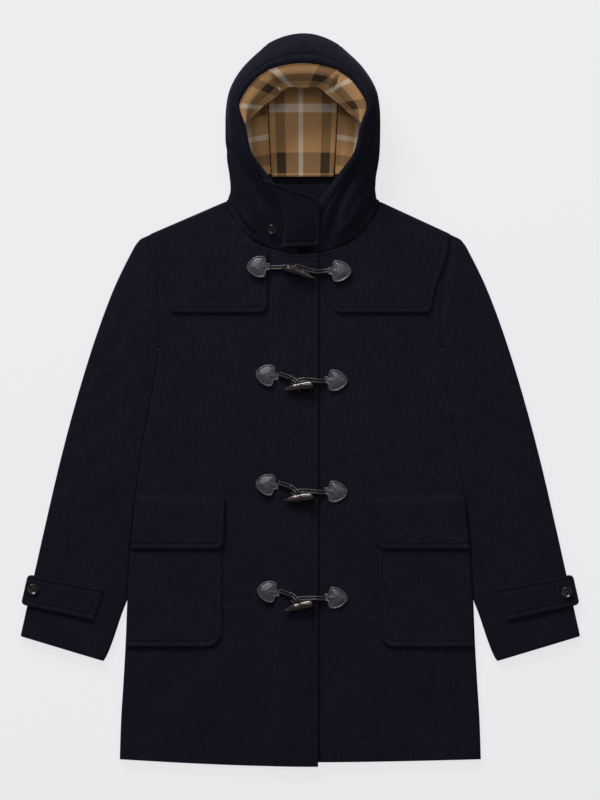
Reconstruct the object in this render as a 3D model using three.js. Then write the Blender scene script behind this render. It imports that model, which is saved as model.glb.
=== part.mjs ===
// Duffle coat laid flat on its back, hood propped open.
// Millimetres, +Z up. The coat lies on Z = 0 with its hem toward -Y and its hood toward +Y.
// "Right" and "left" are the wearer's: the right front, at -X, laps over the left one.
import * as THREE from 'three';

// ---- driving sizes ---------------------------------------------------------
const CLOTH = 3; // wall of the melton cloth
const LINING = 1.4; // wall of the brushed hood lining
const SEAM = 0.4; // clear width left at every sewn edge
const LAYER = 0.5; // clearance between cloth and what lies on it
const FLAT = 9.5; // height of two cloths lying on each other
const FOLD = FLAT / 2; // radius of a folded side edge
const FRONT_EDGE = 28.5; // X of the right front's edge
const LEFT_EDGE = -30; // X of the left front's hidden edge
const LAP = CLOTH + 0.5; // height of the step where the right front laps over
const NECK_RISE = 7; // how far the fronts lift toward the neck seam
const HOOD_X = 4; // X of the hood's centre line
const SHOULDER_TIP = [244, 264];
const NECK_POINT = [123, 318];

// half width of the body, bottom to top, at the side fold and then at the armhole seam
const BODY_HALF = [
  { y: -590, x: 289.5 }, { y: -512, x: 287 }, { y: -448, x: 283 }, { y: -384, x: 279.5 },
  { y: -320, x: 277 }, { y: -236, x: 272 }, { y: -155, x: 264 }, { y: -78, x: 253.5 },
  { y: -5, x: 241 }, { y: 40, x: 233 }, { y: 80, x: 227.5 }, { y: 104, x: 227 },
  { y: 138, x: 226.5 }, { y: 159, x: 228 }, { y: 186, x: 231 }, { y: 208, x: 235 },
  { y: 227, x: 240 }, { y: 243, x: 243 }, { y: 264, x: 244 },
];

// front neck seam, measured out from the hood's centre line
const NECK_SEAM = [
  { x: 0, y: 233 }, { x: 26, y: 235.5 }, { x: 50, y: 241.5 }, { x: 70, y: 249 },
  { x: 88, y: 262 }, { x: 103, y: 279 }, { x: 116, y: 298 }, { x: 123, y: 318 },
];

// sleeve, armhole to cuff: its outer fold and the Y or the point of its inner fold
const SLEEVE = [
  { outX: 249, outY: 264, inX: 227.5, inY: 84 },
  { outX: 260, outY: 253, inX: 0, inY: 74 },
  { outX: 270, outY: 237, inX: 0, inY: 50 },
  { outX: 299, outY: 177, inX: 0, inY: -5 },
  { outX: 329, outY: 96, inX: 0, inY: -75 },
  { outX: 358.5, outY: 0, inX: 0, inY: -140 },
  { outX: 384, outY: -96, inX: 0, inY: -205 },
  { outX: 406.5, outY: -192, inX: 0, inY: -265 },
  { outX: 428, outY: -288, inX: 278.6, inY: -322 },
  { outX: 448, outY: -378, inX: 315, inY: -418 },
];

// hood side, neck to crown seam; X is measured out from the hood's centre line
const HOOD = [
  { rim: [14, 290, 32], cheek: [70, 300, 34], side: [116, 331, 15], base: [102, 334], back: [50, 336] },
  { rim: [55, 352, 50], cheek: [94, 353, 46], side: [117, 356, 22], base: [102, 358], back: [51, 362] },
  { rim: [85, 392, 66], cheek: [108, 392, 56], side: [122, 390, 32], base: [106, 392], back: [53, 400] },
  { rim: [95, 434, 76], cheek: [114, 434, 66], side: [123.5, 430, 38], base: [108, 430], back: [55, 440] },
  { rim: [106, 466, 82], cheek: [118, 468, 70], side: [121.5, 468, 42], base: [106, 466], back: [56, 475] },
  { rim: [96, 490, 85], cheek: [111, 497, 74], side: [113, 499, 44], base: [98, 493], back: [56, 503] },
  { rim: [78, 513, 87], cheek: [91, 526, 76], side: [93, 531, 46], base: [80, 522], back: [56, 520] },
  { rim: [55, 528, 87], cheek: [60, 552, 78], side: [60, 565, 46], base: [57, 556], back: [56, 537] },
];
// how far the crown of the centre panel stands out past its seams, rim to back
const CROWN_SWELL = [10.5, 21, 23, 20, 6];
// lip of the lining's crown fold, measured out from the hood's centre line
const LIP = [{ x: 0, y: 500 }, { x: 27, y: 499 }, { x: 44, y: 485 }, { x: 65, y: 468 }, { x: 88, y: 444 }];
const LIP_Z = 60;
const BROW_IN = 3; // how far inside the rim the fold starts

// the four fastenings, top to bottom: patch centres, toggle ends, and the bights of the two cords
const FASTENINGS = [
  { right: [-69, 213], left: [65, 206], thick: [-22, 211], tip: [23, 193], rightBight: [-30, 212], leftBight: [16, 208] },
  { right: [-55, 40], left: [59, 31], thick: [21, 23], tip: [-27, 15], rightBight: [-15, 37], leftBight: [-1, 35] },
  { right: [-55, -135], left: [59, -147], thick: [20, -156], tip: [-27, -163], rightBight: [-15, -140], leftBight: [-1, -142] },
  { right: [-53, -306], left: [59, -317], thick: [20, -328], tip: [-26, -338], rightBight: [-14, -312], leftBight: [0, -313] },
];
const TOGGLE_R = 6.2;
const CORD_R = 2;
const SEAT = LAYER + 0.25; // clearance below a toggle or a cord on the curved fronts
const CORD_APART = CORD_R + 0.15; // half the distance between a doubled cord's strands
const PATCH = { length: 32, height: 35, tail: 9, tailHeight: 13, thick: 2 };

// ---- materials ---------------------------------------------------------------
const cloth = (name, color, roughness) =>
  Object.assign(new THREE.MeshStandardMaterial({ color, roughness, metalness: 0 }), { name });
const MELTON = cloth('melton', 0x1b1c29, 0.95);
const CHECK = cloth('lining', 0xb88f63, 0.95);
const LEATHER = cloth('leather', 0x3a3a3d, 0.45);
const HORN = cloth('horn', 0x3b2723, 0.35);
const BUTTON = cloth('button', 0x17171c, 0.25);

const coat = new THREE.Group();
function add(name, geometry, material) {
  const mesh = new THREE.Mesh(geometry, material);
  mesh.name = name;
  coat.add(mesh);
}

// ---- small mathematics -----------------------------------------------------
const vec = (x, y, z) => new THREE.Vector3(x, y, z);
const clamp = THREE.MathUtils.clamp;
const lerp = THREE.MathUtils.lerp;
const smooth = THREE.MathUtils.smoothstep;
const range = (n) => Array.from({ length: n }, (_, i) => i);
const linear = (a, b, n) => range(n).map((i) => lerp(a, b, i / (n - 1)));

// value of a table's column at a given key, straight between its rows
function lookup(table, key, column, at) {
  const rows = [...table].sort((a, b) => a[key] - b[key]);
  const hit = rows.findIndex((row) => row[key] >= at);
  if (hit === 0) return rows[0][column];
  if (hit < 0) return rows[rows.length - 1][column];
  const [a, b] = [rows[hit - 1], rows[hit]];
  return lerp(a[column], b[column], (at - a[key]) / (b[key] - a[key]));
}

// Catmull-Rom through a list of points, at u from 0 to 1 counted in equal steps per point
function through(points, u) {
  const last = points.length - 1;
  const i = Math.min(Math.floor(u * last), last - 1);
  const t = u * last - i;
  const p = [-1, 0, 1, 2].map((k) => points[clamp(i + k, 0, last)]);
  const axis = (c) => {
    const [a, b, d, e] = p.map((q) => q[c]);
    return 0.5 * (2 * b + (d - a) * t + (2 * a - 5 * b + 4 * d - e) * t * t + (3 * b - a - 3 * d + e) * t ** 3);
  };
  return vec(axis('x'), axis('y'), axis('z'));
}

// ---- cloth solids ------------------------------------------------------------
// Point normals shared by every grid of a family, so that its pieces meet along their seams.
function familyNormals(grids, outward) {
  const sums = new Map();
  const key = (p) => [p.x, p.y, p.z].map((v) => Math.round(v * 100)).join();
  for (const grid of grids) {
    for (let i = 0; i + 1 < grid.length; i++) {
      for (let j = 0; j + 1 < grid[0].length; j++) {
        const corners = [grid[i][j], grid[i][j + 1], grid[i + 1][j + 1], grid[i + 1][j]];
        const face = corners[2].clone().sub(corners[0]).cross(corners[3].clone().sub(corners[1]));
        const middle = corners[0].clone().add(corners[2]).multiplyScalar(0.5);
        if (face.dot(outward(middle)) < 0) face.negate();
        for (const p of corners) {
          if (!sums.has(key(p))) sums.set(key(p), vec(0, 0, 0));
          sums.get(key(p)).add(face);
        }
      }
    }
  }
  return (p) => sums.get(key(p)).clone().normalize();
}

// draw the borders of a grid back from its seams, each by its own distance
function drawBack(grid, gaps) {
  const out = grid.map((row) => row.map((p) => p.clone()));
  const pull = (i, j, ti, tj, gap) => {
    const step = grid[ti][tj].clone().sub(grid[i][j]);
    out[i][j].add(step.setLength(Math.min(gap, step.length() * 0.4)));
  };
  const [m, n] = [grid.length - 1, grid[0].length - 1];
  const { first = 0, last = 0, start = 0, end = 0 } = gaps;
  if (first) range(n + 1).forEach((j) => pull(0, j, 1, j, first));
  if (last) range(n + 1).forEach((j) => pull(m, j, m - 1, j, last));
  if (start) range(m + 1).forEach((i) => pull(i, 0, i, 1, start));
  if (end) range(m + 1).forEach((i) => pull(i, n, i, n - 1, end));
  return out;
}

// closed solid between two grids of the same size; rings close along each row
function solidBetween(top, bottom, rings = false) {
  const [m, n] = [top.length, top[0].length];
  const points = [...top.flat(), ...bottom.flat()];
  const faces = [];
  const at = (layer, i, j) => layer * m * n + i * n + (j % n);
  const quad = (a, b, c, d) => faces.push([a, b, c], [a, c, d]);
  for (let i = 0; i + 1 < m; i++) {
    for (let j = 0; j < (rings ? n : n - 1); j++) {
      quad(at(0, i, j), at(0, i, j + 1), at(0, i + 1, j + 1), at(0, i + 1, j));
      quad(at(1, i, j), at(1, i + 1, j), at(1, i + 1, j + 1), at(1, i, j + 1));
    }
  }
  for (let j = 0; j < (rings ? n : n - 1); j++) {
    quad(at(0, 0, j + 1), at(0, 0, j), at(1, 0, j), at(1, 0, j + 1));
    quad(at(0, m - 1, j), at(0, m - 1, j + 1), at(1, m - 1, j + 1), at(1, m - 1, j));
  }
  for (let i = 0; i + 1 < m && !rings; i++) {
    quad(at(0, i, 0), at(0, i + 1, 0), at(1, i + 1, 0), at(1, i, 0));
    quad(at(0, i + 1, n - 1), at(0, i, n - 1), at(1, i, n - 1), at(1, i + 1, n - 1));
  }
  return closed(points, faces);
}

// geometry of a closed set of faces, turned to point outwards
function closed(points, faces) {
  const volume = faces.reduce((sum, [a, b, c]) =>
    sum + points[a].dot(points[b].clone().cross(points[c])), 0);
  const index = faces.flatMap(([a, b, c]) => (volume < 0 ? [a, c, b] : [a, b, c]));
  const geometry = new THREE.BufferGeometry().setFromPoints(points);
  geometry.setIndex(index);
  return geometry;
}

// a layer of cloth over a grid, between two distances along its normals
function layer(grid, normal, from, to, gaps = {}) {
  const at = (distance) => grid.map((row) => row.map((p) =>
    p.clone().addScaledVector(normal(p), distance)));
  return solidBetween(drawBack(at(to), gaps), drawBack(at(from), gaps));
}

// ---- the coat's upper surface -------------------------------------------------
const bodyHalf = (y) => lookup(BODY_HALF, 'y', 'x', y);
const hoodX = (x) => Math.abs(x - HOOD_X);
// line of the shoulder seam and, inside the neck point, of the front neck seam
function topLine(x) {
  const out = hoodX(x);
  if (out < NECK_POINT[0]) return lookup(NECK_SEAM, 'x', 'y', out);
  const tip = SHOULDER_TIP[0] + (x < 0 ? HOOD_X : -HOOD_X);
  return lerp(NECK_POINT[1], SHOULDER_TIP[1], (out - NECK_POINT[0]) / (tip - NECK_POINT[0]));
}
// depth below the flat of a rounded edge, at a distance in from that edge
const roundDrop = (inside) => FOLD - Math.sqrt(FOLD ** 2 - (FOLD - clamp(inside, 0, FOLD)) ** 2);
const NECK_RISE_HALF = 116; // how far out from the hood's centre line the lift dies away
const NECK_RISE_DOWN = 50; // and how far down from the neck seam
const LAP_STEP = [-52, -34]; // where the right front climbs over the left front's hidden edge
const neckRise = (x, y) => NECK_RISE * Math.max(0, 1 - (hoodX(x) / NECK_RISE_HALF) ** 2)
  * Math.exp(-(((topLine(x) - y) / NECK_RISE_DOWN) ** 2));
const lapRise = (x) => LAP * smooth(x, ...LAP_STEP) * (x <= FRONT_EDGE ? 1 : 0);

// height of the front's upper face
function frontHeight(x, y, lapped) {
  return FLAT + neckRise(x, y) + (lapped ? lapRise(x) : 0);
}
const up = () => vec(0, 0, 1);

// rows of the body, from the hem: the outer edge's Y, then how far in from the top line
const HEM_EDGE = -575;
const STRAIGHT = [-440, -300, -170, -60, 10, 55, 75];
const ARMHOLE = [FOLD + 84, 130, 170, 205];
const LIFTED = [235, SHOULDER_TIP[1] - FOLD];
const FOLD_TURN = [45, 90].map(THREE.MathUtils.degToRad);

// one front: columns are X on the top row, out from its front edge
function frontGrid(columns, side, lapped, hemY) {
  const tip = SHOULDER_TIP[0];
  const stretch = (x, y) => x + side * (bodyHalf(y) - tip) * (x / tip) ** 2 * (side * x > 0 ? 1 : 0);
  const place = (x, y, edgeY, turn) => {
    const flatEdge = tip - FOLD;
    const beyond = side * x - flatEdge;
    const inArmhole = smooth(edgeY, 76, 88);
    let px = stretch(x, edgeY);
    let drop = 0;
    if (beyond > 0.01) {
      const angle = (beyond / FOLD) * Math.PI / 2;
      const round = bodyHalf(edgeY) - FOLD + FOLD * Math.sin(angle);
      px = side * lerp(round, bodyHalf(edgeY) - FOLD + beyond, inArmhole);
      drop = (1 - inArmhole) * FOLD * (1 - Math.cos(angle));
    }
    const seam = smooth(hoodX(x), 114, 123);
    const turned = turn ? seam * FOLD * (1 - Math.cos(turn)) : 0;
    return vec(px, y, frontHeight(px, y, lapped) - drop - turned);
  };
  const hem = columns.map((x) => place(x, hemY(x), HEM_EDGE, 0));
  const rows = [...STRAIGHT, ...ARMHOLE].map((y) => columns.map((x) => place(x, y, y, 0)));
  const base = ARMHOLE[ARMHOLE.length - 1];
  const reach = (x) => topLine(clamp(x, -tip, tip));
  for (const edgeY of LIFTED) {
    const part = (edgeY - base) / (SHOULDER_TIP[1] - base);
    rows.push(columns.map((x) => place(x, lerp(base, reach(x), part), edgeY, 0)));
  }
  for (const turn of FOLD_TURN) {
    const inside = FOLD * (1 - Math.sin(turn));
    rows.push(columns.map((x) => place(x, reach(x) - inside, SHOULDER_TIP[1] - inside, turn)));
  }
  return [hem, ...rows];
}

const FLAT_EDGE = SHOULDER_TIP[0] - FOLD;
const OUTER_COLUMNS = [150, 195, FLAT_EDGE, FLAT_EDGE + FOLD / 2, SHOULDER_TIP[0]];
const RIGHT_COLUMNS = [FRONT_EDGE, 2, -34, -43, -52, -70, -88, -104, -119,
  ...OUTER_COLUMNS.map((x) => -x)];
const LEFT_COLUMNS = [LEFT_EDGE, 0, 30, 54, 74, 92, 112, 127, ...OUTER_COLUMNS];
const RIGHT_DIP = 12; // how far the right front's hem hangs lower at its front edge
const LEFT_DIP = 5;
const rightHem = (x) => HEM_EDGE - RIGHT_DIP * (1 - ((FRONT_EDGE - x) / (FRONT_EDGE + SHOULDER_TIP[0])) ** 2);
const leftHem = (x) => HEM_EDGE - LEFT_DIP * (1 - (x / SHOULDER_TIP[0]) ** 2);
const rightFront = frontGrid(RIGHT_COLUMNS, -1, true, rightHem);
const leftFront = frontGrid(LEFT_COLUMNS, 1, false, leftHem);
const HALF_SEAM = SEAM / 2;
const FRONT_GAPS = { end: HALF_SEAM, last: HALF_SEAM };

// back, flat on the surface, its sides turned up to meet the fronts
const BACK_NECK_Y = 306;
const backNeck = (x) => lerp(BACK_NECK_Y, NECK_POINT[1], (hoodX(x) / NECK_POINT[0]) ** 2);
function backGrid() {
  const outer = [...OUTER_COLUMNS].reverse();
  const columns = [...outer.map((x) => -x), -119, -80, -48, -10, 22, 56, 88, 127, ...OUTER_COLUMNS];
  const tip = SHOULDER_TIP[0];
  const place = (x, y, edgeY, turn) => {
    const beyond = Math.abs(x) - FLAT_EDGE;
    const inArmhole = smooth(edgeY, 76, 88);
    let px = x + Math.sign(x) * (bodyHalf(edgeY) - tip) * (x / tip) ** 2;
    let lift = 0;
    if (beyond > 0.01) {
      const angle = (beyond / FOLD) * Math.PI / 2;
      const round = bodyHalf(edgeY) - FOLD + FOLD * Math.sin(angle);
      px = Math.sign(x) * lerp(round, bodyHalf(edgeY) - FOLD + beyond, inArmhole);
      lift = (1 - inArmhole) * FOLD * (1 - Math.cos(angle));
    }
    const seam = turn ? smooth(hoodX(x), 114, 123) * FOLD * (1 - Math.cos(turn)) : 0;
    return vec(px, y, lift + seam);
  };
  const reach = (x) => (hoodX(x) < NECK_POINT[0] ? backNeck(x) : topLine(x));
  const base = ARMHOLE[ARMHOLE.length - 1];
  const grid = [HEM_EDGE, ...STRAIGHT, ...ARMHOLE].map((y) => columns.map((x) => place(x, y, y, 0)));
  for (const edgeY of LIFTED) {
    const part = (edgeY - base) / (SHOULDER_TIP[1] - base);
    grid.push(columns.map((x) => place(x, lerp(base, reach(x), part), edgeY, 0)));
  }
  for (const turn of FOLD_TURN) {
    const inside = FOLD * (1 - Math.sin(turn));
    grid.push(columns.map((x) => place(x, reach(x) - inside, SHOULDER_TIP[1] - inside, turn)));
  }
  return grid;
}
const back = backGrid();
const awayFromFold = (p) => vec(0, 0, p.z - FOLD);
const bodyNormal = familyNormals([rightFront, leftFront, back], awayFromFold);
add('right_front', layer(rightFront, bodyNormal, -CLOTH, 0, FRONT_GAPS), MELTON);
add('left_front', layer(leftFront, bodyNormal, -CLOTH, 0, FRONT_GAPS), MELTON);
add('back_panel', layer(back, bodyNormal, -CLOTH, 0, { start: HALF_SEAM, ...FRONT_GAPS }), MELTON);

// ---- sleeves -------------------------------------------------------------------
// a flattened tube; ring 0 follows the body's armhole seam
function sleeve(side) {
  const ringOf = (row, index, inset) => {
    const inX = row.inX || bodyHalf(row.inY) + SEAM * 2;
    const inner = vec(inX, row.inY, 0);
    const outer = vec(row.outX, row.outY, 0);
    const along = outer.clone().sub(inner).normalize();
    const radius = FOLD - inset;
    const spots = [...ARMHOLE, ...LIFTED].map((y) =>
      (y - ARMHOLE[0]) / (SHOULDER_TIP[1] - FOLD - ARMHOLE[0]));
    const flatStart = inner.clone().addScaledVector(along, FOLD);
    const flatEnd = outer.clone().addScaledVector(along, -FOLD);
    const flat = (z) => (f) => vec(lerp(flatStart.x, flatEnd.x, f), lerp(flatStart.y, flatEnd.y, f), z);
    const arc = (centre, way, degrees) => degrees.map((d) => {
      const a = THREE.MathUtils.degToRad(d);
      return centre.clone().addScaledVector(along, way * radius * Math.sin(a)).setZ(FOLD + radius * Math.cos(a));
    });
    const ring = [
      ...spots.map(flat(FOLD + radius)),
      ...arc(flatEnd, 1, [45, 90, 135]),
      ...[...spots].reverse().map(flat(FOLD - radius)),
      ...arc(flatStart, -1, [135, 90, 45]),
    ];
    if (index > 0) return ring;
    return ring.map((p) => p.setX(bodyHalf(Math.max(p.y, 80)) + SEAM / 2));
  };
  const rings = (inset) => SLEEVE.map((row, i) => ringOf(row, i, inset)
    .map((p) => p.setX(p.x * side)));
  return solidBetween(rings(0), rings(CLOTH), true);
}
add('right_sleeve', sleeve(-1), MELTON);
add('left_sleeve', sleeve(1), MELTON);

// ---- hood -----------------------------------------------------------------------
// control points of one row of a hood side, rim to back seam
function hoodRow(row, side) {
  const at = ([x, y, z = 0]) => vec(HOOD_X + side * x, y, z);
  const [rim, cheek, edge] = [at(row.rim), at(row.cheek), at(row.side)];
  const bend = (t) => {
    const bow = cheek.clone().sub(rim.clone().add(edge).multiplyScalar(0.5));
    return rim.clone().lerp(edge, t).addScaledVector(bow, 4 * t * (1 - t));
  };
  return [rim, bend(0.25), cheek, bend(0.75), edge, at(row.base), at(row.back)];
}
function neckRow(side) {
  const xs = [8, 50, 88, 110, 123];
  const points = xs.map((x) => vec(HOOD_X + side * x, lookup(NECK_SEAM, 'x', 'y', x), 0));
  points.forEach((p) => p.setZ(frontHeight(p.x, p.y, side < 0)));
  points[4].setZ(FOLD);
  const backAt = (x) => vec(HOOD_X + side * x, backNeck(HOOD_X + side * x), 0);
  return [...points, backAt(106), backAt(50)];
}
const HOOD_ROWS = linear(0, 1, 13);
const HOOD_SPOTS = linear(0, 1, 13);
function hoodSide(side) {
  const rows = [neckRow(side), ...HOOD.map((row) => hoodRow(row, side))];
  const columns = range(7).map((c) => rows.map((row) => row[c]));
  return HOOD_ROWS.map((v) => {
    const row = columns.map((column) => through(column, v));
    return HOOD_SPOTS.map((s) => {
      const p = through(row, s);
      return p.setZ(Math.max(p.z, 0));
    });
  });
}
const hoodRight = hoodSide(-1);
const hoodLeft = hoodSide(1);
// the centre panel runs from the rim over the crown and down the back to the nape
function hoodCentre() {
  const border = (grid) => {
    const rows = grid.length - 1;
    return [...grid[rows], ...range(rows).map((i) => grid[rows - 1 - i][grid[0].length - 1])];
  };
  const [right, left] = [border(hoodRight), border(hoodLeft)];
  const swellAt = (i) => {
    const place = (i / (HOOD_SPOTS.length - 1)) * 4;
    if (place >= 4) return Math.max(0, CROWN_SWELL[4] * (1 - (place - 4)));
    const low = Math.floor(place);
    return lerp(CROWN_SWELL[low], CROWN_SWELL[low + 1], place - low);
  };
  return right.map((a, i) => linear(0, 1, 5).map((t) => {
    const p = a.clone().lerp(left[i], t);
    return p.setY(p.y + swellAt(i) * 4 * t * (1 - t));
  }));
}
const centre = hoodCentre();
const fromHead = (p) => p.clone().sub(vec(HOOD_X, clamp(p.y, 380, 490), 42));
const hoodNormal = familyNormals([hoodRight, hoodLeft, centre], fromHead);
// the neck seam is drawn back further, because there the hood turns up from the fronts
const NECK_SEAM_GAP = 2;
const HOOD_GAPS = { first: NECK_SEAM_GAP, last: SEAM, end: SEAM };
add('hood_right_side', layer(hoodRight, hoodNormal, -CLOTH, 0, HOOD_GAPS), MELTON);
add('hood_left_side', layer(hoodLeft, hoodNormal, -CLOTH, 0, HOOD_GAPS), MELTON);
add('hood_centre', layer(centre, hoodNormal, -CLOTH, 0, { start: SEAM, end: SEAM, last: SEAM }), MELTON);

// lining, inside the hood from just above the neck band
const LINED_FROM = 3;
const LINING_OUT = -(CLOTH + LAYER);
const lined = (grid) => grid.slice(LINED_FROM).map((row) => row.slice(1));
for (const [name, grid] of [['hood_lining_right', hoodRight], ['hood_lining_left', hoodLeft]]) {
  add(name, layer(lined(grid), hoodNormal, LINING_OUT - LINING, LINING_OUT, { last: SEAM, end: SEAM }), CHECK);
}
const linedCentre = centre.slice(1, centre.length - LINED_FROM);
add('hood_lining_centre',
  layer(linedCentre, hoodNormal, LINING_OUT - LINING, LINING_OUT, { start: SEAM, end: SEAM }), CHECK);

// brow fold: the lining hangs from the rim to a lip, across the crown
function brow() {
  // just inside the rim: toward the middle of the face opening, and down
  const insideRim = ([x, y, z], side) => {
    const rim = vec(HOOD_X + side * x, y, 0);
    const inward = vec(HOOD_X, 440, 0).sub(rim).setLength(BROW_IN);
    return rim.add(inward).setZ(z - CLOTH);
  };
  const top = [-1, 1].map((side) => HOOD.slice(3).map((row) => insideRim(row.rim, side)));
  const crownRim = HOOD[HOOD.length - 1].rim;
  const middle = insideRim([0, crownRim[1] + CROWN_SWELL[0], crownRim[2]], 1);
  const upper = [...top[0], middle, ...top[1].reverse()];
  const lipSide = (side) => LIP.slice(1).reverse().map((p) => vec(HOOD_X + side * p.x, p.y, LIP_Z));
  const lower = [...lipSide(-1), vec(HOOD_X, LIP[0].y, LIP_Z), ...lipSide(1).reverse()];
  const steps = linear(0.02, 0.98, 13);
  return linear(0, 1, 4).map((v) => steps.map((u) => {
    const [a, b] = [through(upper, u), through(lower, u)];
    const p = a.lerp(b, v);
    return p.setZ(p.z + 5 * Math.sin(Math.PI * v));
  }));
}
const browGrid = brow();
add('hood_lining_fold', layer(browGrid, familyNormals([browGrid], up), -LINING, 0), CHECK);

// neck band: self cloth across the inside of the nape, under the lining's lower edge
const nape = linear(BACK_NECK_Y + 6, 342, 3).map((y) =>
  linear(-46, 46, 4).map((x) => vec(HOOD_X + x, y, CLOTH + LAYER)));
add('inner_neck_band', layer(nape, familyNormals([nape], up), 0, CLOTH - 1), MELTON);

// throat tab, across both sides of the hood above the first fastening: its columns run from
// the right side of the hood, over the gap at the throat, to the tab's free edge
const TAB = { onHood: 0.1, high: 0.25, low: 0.02, freeLow: [28, 248], freeHigh: [19, 319], bow: 4 };
const hoodPoint = (grid, v, s) => through(grid.map((points) => through(points, s)), v);
function tabGrid() {
  return linear(0, 1, 6).map((v) => {
    const start = hoodPoint(hoodRight, lerp(TAB.low, TAB.high, v), TAB.onHood);
    const level = hoodPoint(hoodLeft, lerp(TAB.low, TAB.high * 0.8, v), 0.02);
    const free = vec(lerp(TAB.freeLow[0], TAB.freeHigh[0], v), lerp(TAB.freeLow[1], TAB.freeHigh[1], v), level.z + 2);
    return linear(0, 1, 5).map((u) => {
      const p = start.clone().lerp(free, u);
      return p.setZ(p.z + TAB.bow * Math.sin(Math.PI * Math.min(1, u + 0.15)));
    });
  });
}
const tab = tabGrid();
add('throat_tab', layer(tab, familyNormals([tab], up), LAYER, LAYER + CLOTH), MELTON);

// ---- pieces lying on the fronts ----------------------------------------------------
// point of the coat's upper surface, with the rounding of its side and shoulder edges
function onFront(x, y) {
  const lapped = x <= FRONT_EDGE;
  const inside = bodyHalf(y) - Math.abs(x);
  const side = y < 76 ? roundDrop(inside) : 0;
  const shoulder = hoodX(x) > 114 ? roundDrop(topLine(x) - y) * smooth(hoodX(x), 114, 123) : 0;
  return vec(x, y, frontHeight(x, y, lapped) - side - shoulder);
}
// distance that a rounded corner takes off an edge, at a height above the corner's foot
const cornerCut = (radius, height) =>
  (height >= radius ? 0 : radius - Math.sqrt(radius ** 2 - (radius - Math.max(height, 0)) ** 2));
// rows of a panel whose lower corners are rounded
const cornerRows = (low, radius, rest) =>
  [...[0, 0.12, 0.45, 1].map((part) => low + radius * part), ...rest];

// a panel from an inner edge to just round the side fold
function patchOnFront(side, rows, inner, lift = () => 0) {
  return rows.map((y) => {
    const flatEnd = bodyHalf(y) - FOLD;
    const across = [...linear(inner(y), flatEnd, 6), flatEnd + SIDE_WRAP];
    return across.map((x) => {
      const p = onFront(side * x, y);
      return p.setZ(p.z + lift(y));
    });
  });
}

const YOKE = { right: 53, left: 52, low: 140, radius: 13, outLow: 210, outHigh: 236, shoulderIn: FOLD + 0.5 };
function yokeGrid(side, inner) {
  return linear(0, 1, 9).map((v) => linear(0, 1, 9).map((u) => {
    const topX = side * lerp(inner, YOKE.outHigh, u);
    const y = lerp(YOKE.low, topLine(topX) - YOKE.shoulderIn, v ** 1.4);
    const cut = cornerCut(YOKE.radius, y - YOKE.low);
    const outer = lerp(YOKE.outLow, YOKE.outHigh, smooth(v, 0.1, 1)) - cut;
    return onFront(side * lerp(inner + cut, outer, u), y);
  }));
}
for (const [name, side] of [['right', -1], ['left', 1]]) {
  const grid = yokeGrid(side, YOKE[name]);
  add(`${name}_yoke`, layer(grid, familyNormals([grid], up), LAYER, LAYER + CLOTH), MELTON);
}

const SIDE_WRAP = 2.2;
const POCKET = { inner: 126, top: -166, low: -395, radius: 26 };
const FLAP = { inner: 123, top: -149, low: -238, radius: 12 };
const overPocket = (y) => (CLOTH + LAYER) * (1 - smooth(y, -165, -154));
for (const [name, side] of [['right', -1], ['left', 1]]) {
  const pocketRows = cornerRows(POCKET.low, POCKET.radius, [-310, -240, POCKET.top]);
  const pocket = patchOnFront(side, pocketRows,
    (y) => POCKET.inner + cornerCut(POCKET.radius, y - POCKET.low));
  add(`${name}_pocket`, layer(pocket, familyNormals([pocket], up), LAYER, LAYER + CLOTH), MELTON);
  const flapRows = cornerRows(FLAP.low, FLAP.radius, [-200, -166, -160, -154, FLAP.top]);
  const flap = patchOnFront(side, flapRows,
    (y) => FLAP.inner + cornerCut(FLAP.radius, y - FLAP.low), overPocket);
  add(`${name}_pocket_flap`, layer(flap, familyNormals([flap], up), LAYER, LAYER + CLOTH), MELTON);
}

// ---- cuff tabs and buttons ------------------------------------------------------------
const CUFF_TAB = [
  { inner: [314, -302], outer: [436, -279] },
  { inner: [330, -353], outer: [447, -327] },
];
const BUTTON_R = 9;
const BUTTON_PROFILE = [[0, 0], [6, 0], [BUTTON_R, 1.4], [BUTTON_R, 2.6], [7.2, 3.6], [6, 2.8], [0, 2.8]];
// a button on a face, its axis along the face's normal
function buttonOn(point, normal) {
  const profile = BUTTON_PROFILE.map(([r, h]) => new THREE.Vector2(r, h));
  const turn = new THREE.Quaternion().setFromUnitVectors(vec(0, 1, 0), normal);
  const seat = point.clone().addScaledVector(normal, 0.4);
  return new THREE.LatheGeometry(profile, 16).applyQuaternion(turn).translate(seat.x, seat.y, seat.z);
}
for (const [name, side, button] of [['right', -1, [-427, -303]], ['left', 1, [426, -308]]]) {
  const grid = linear(0, 1, 3).map((v) => linear(0, 1, 5).map((u) => {
    const inner = CUFF_TAB.map((edge) => vec(side * edge.inner[0], edge.inner[1], FLAT));
    const outer = CUFF_TAB.map((edge) => vec(side * edge.outer[0], edge.outer[1], FLAT));
    return inner[0].lerp(inner[1], v).lerp(outer[0].lerp(outer[1], v), u);
  }));
  add(`${name}_cuff_tab`, layer(grid, familyNormals([grid], up), LAYER, LAYER + CLOTH), MELTON);
  add(`${name}_cuff_button`, buttonOn(vec(...button, FLAT + LAYER + CLOTH), up()), BUTTON);
}
// the throat button is sewn to the right side of the hood, beside the tab
const THROAT_BUTTON = { v: 0.08, s: 0.2, lift: 0.3 };
const buttonNormal = hoodNormal(hoodRight[1][2]);
const buttonSeat = hoodPoint(hoodRight, THROAT_BUTTON.v, THROAT_BUTTON.s)
  .addScaledVector(buttonNormal, THROAT_BUTTON.lift);
add('throat_button', buttonOn(buttonSeat, buttonNormal), BUTTON);

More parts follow.
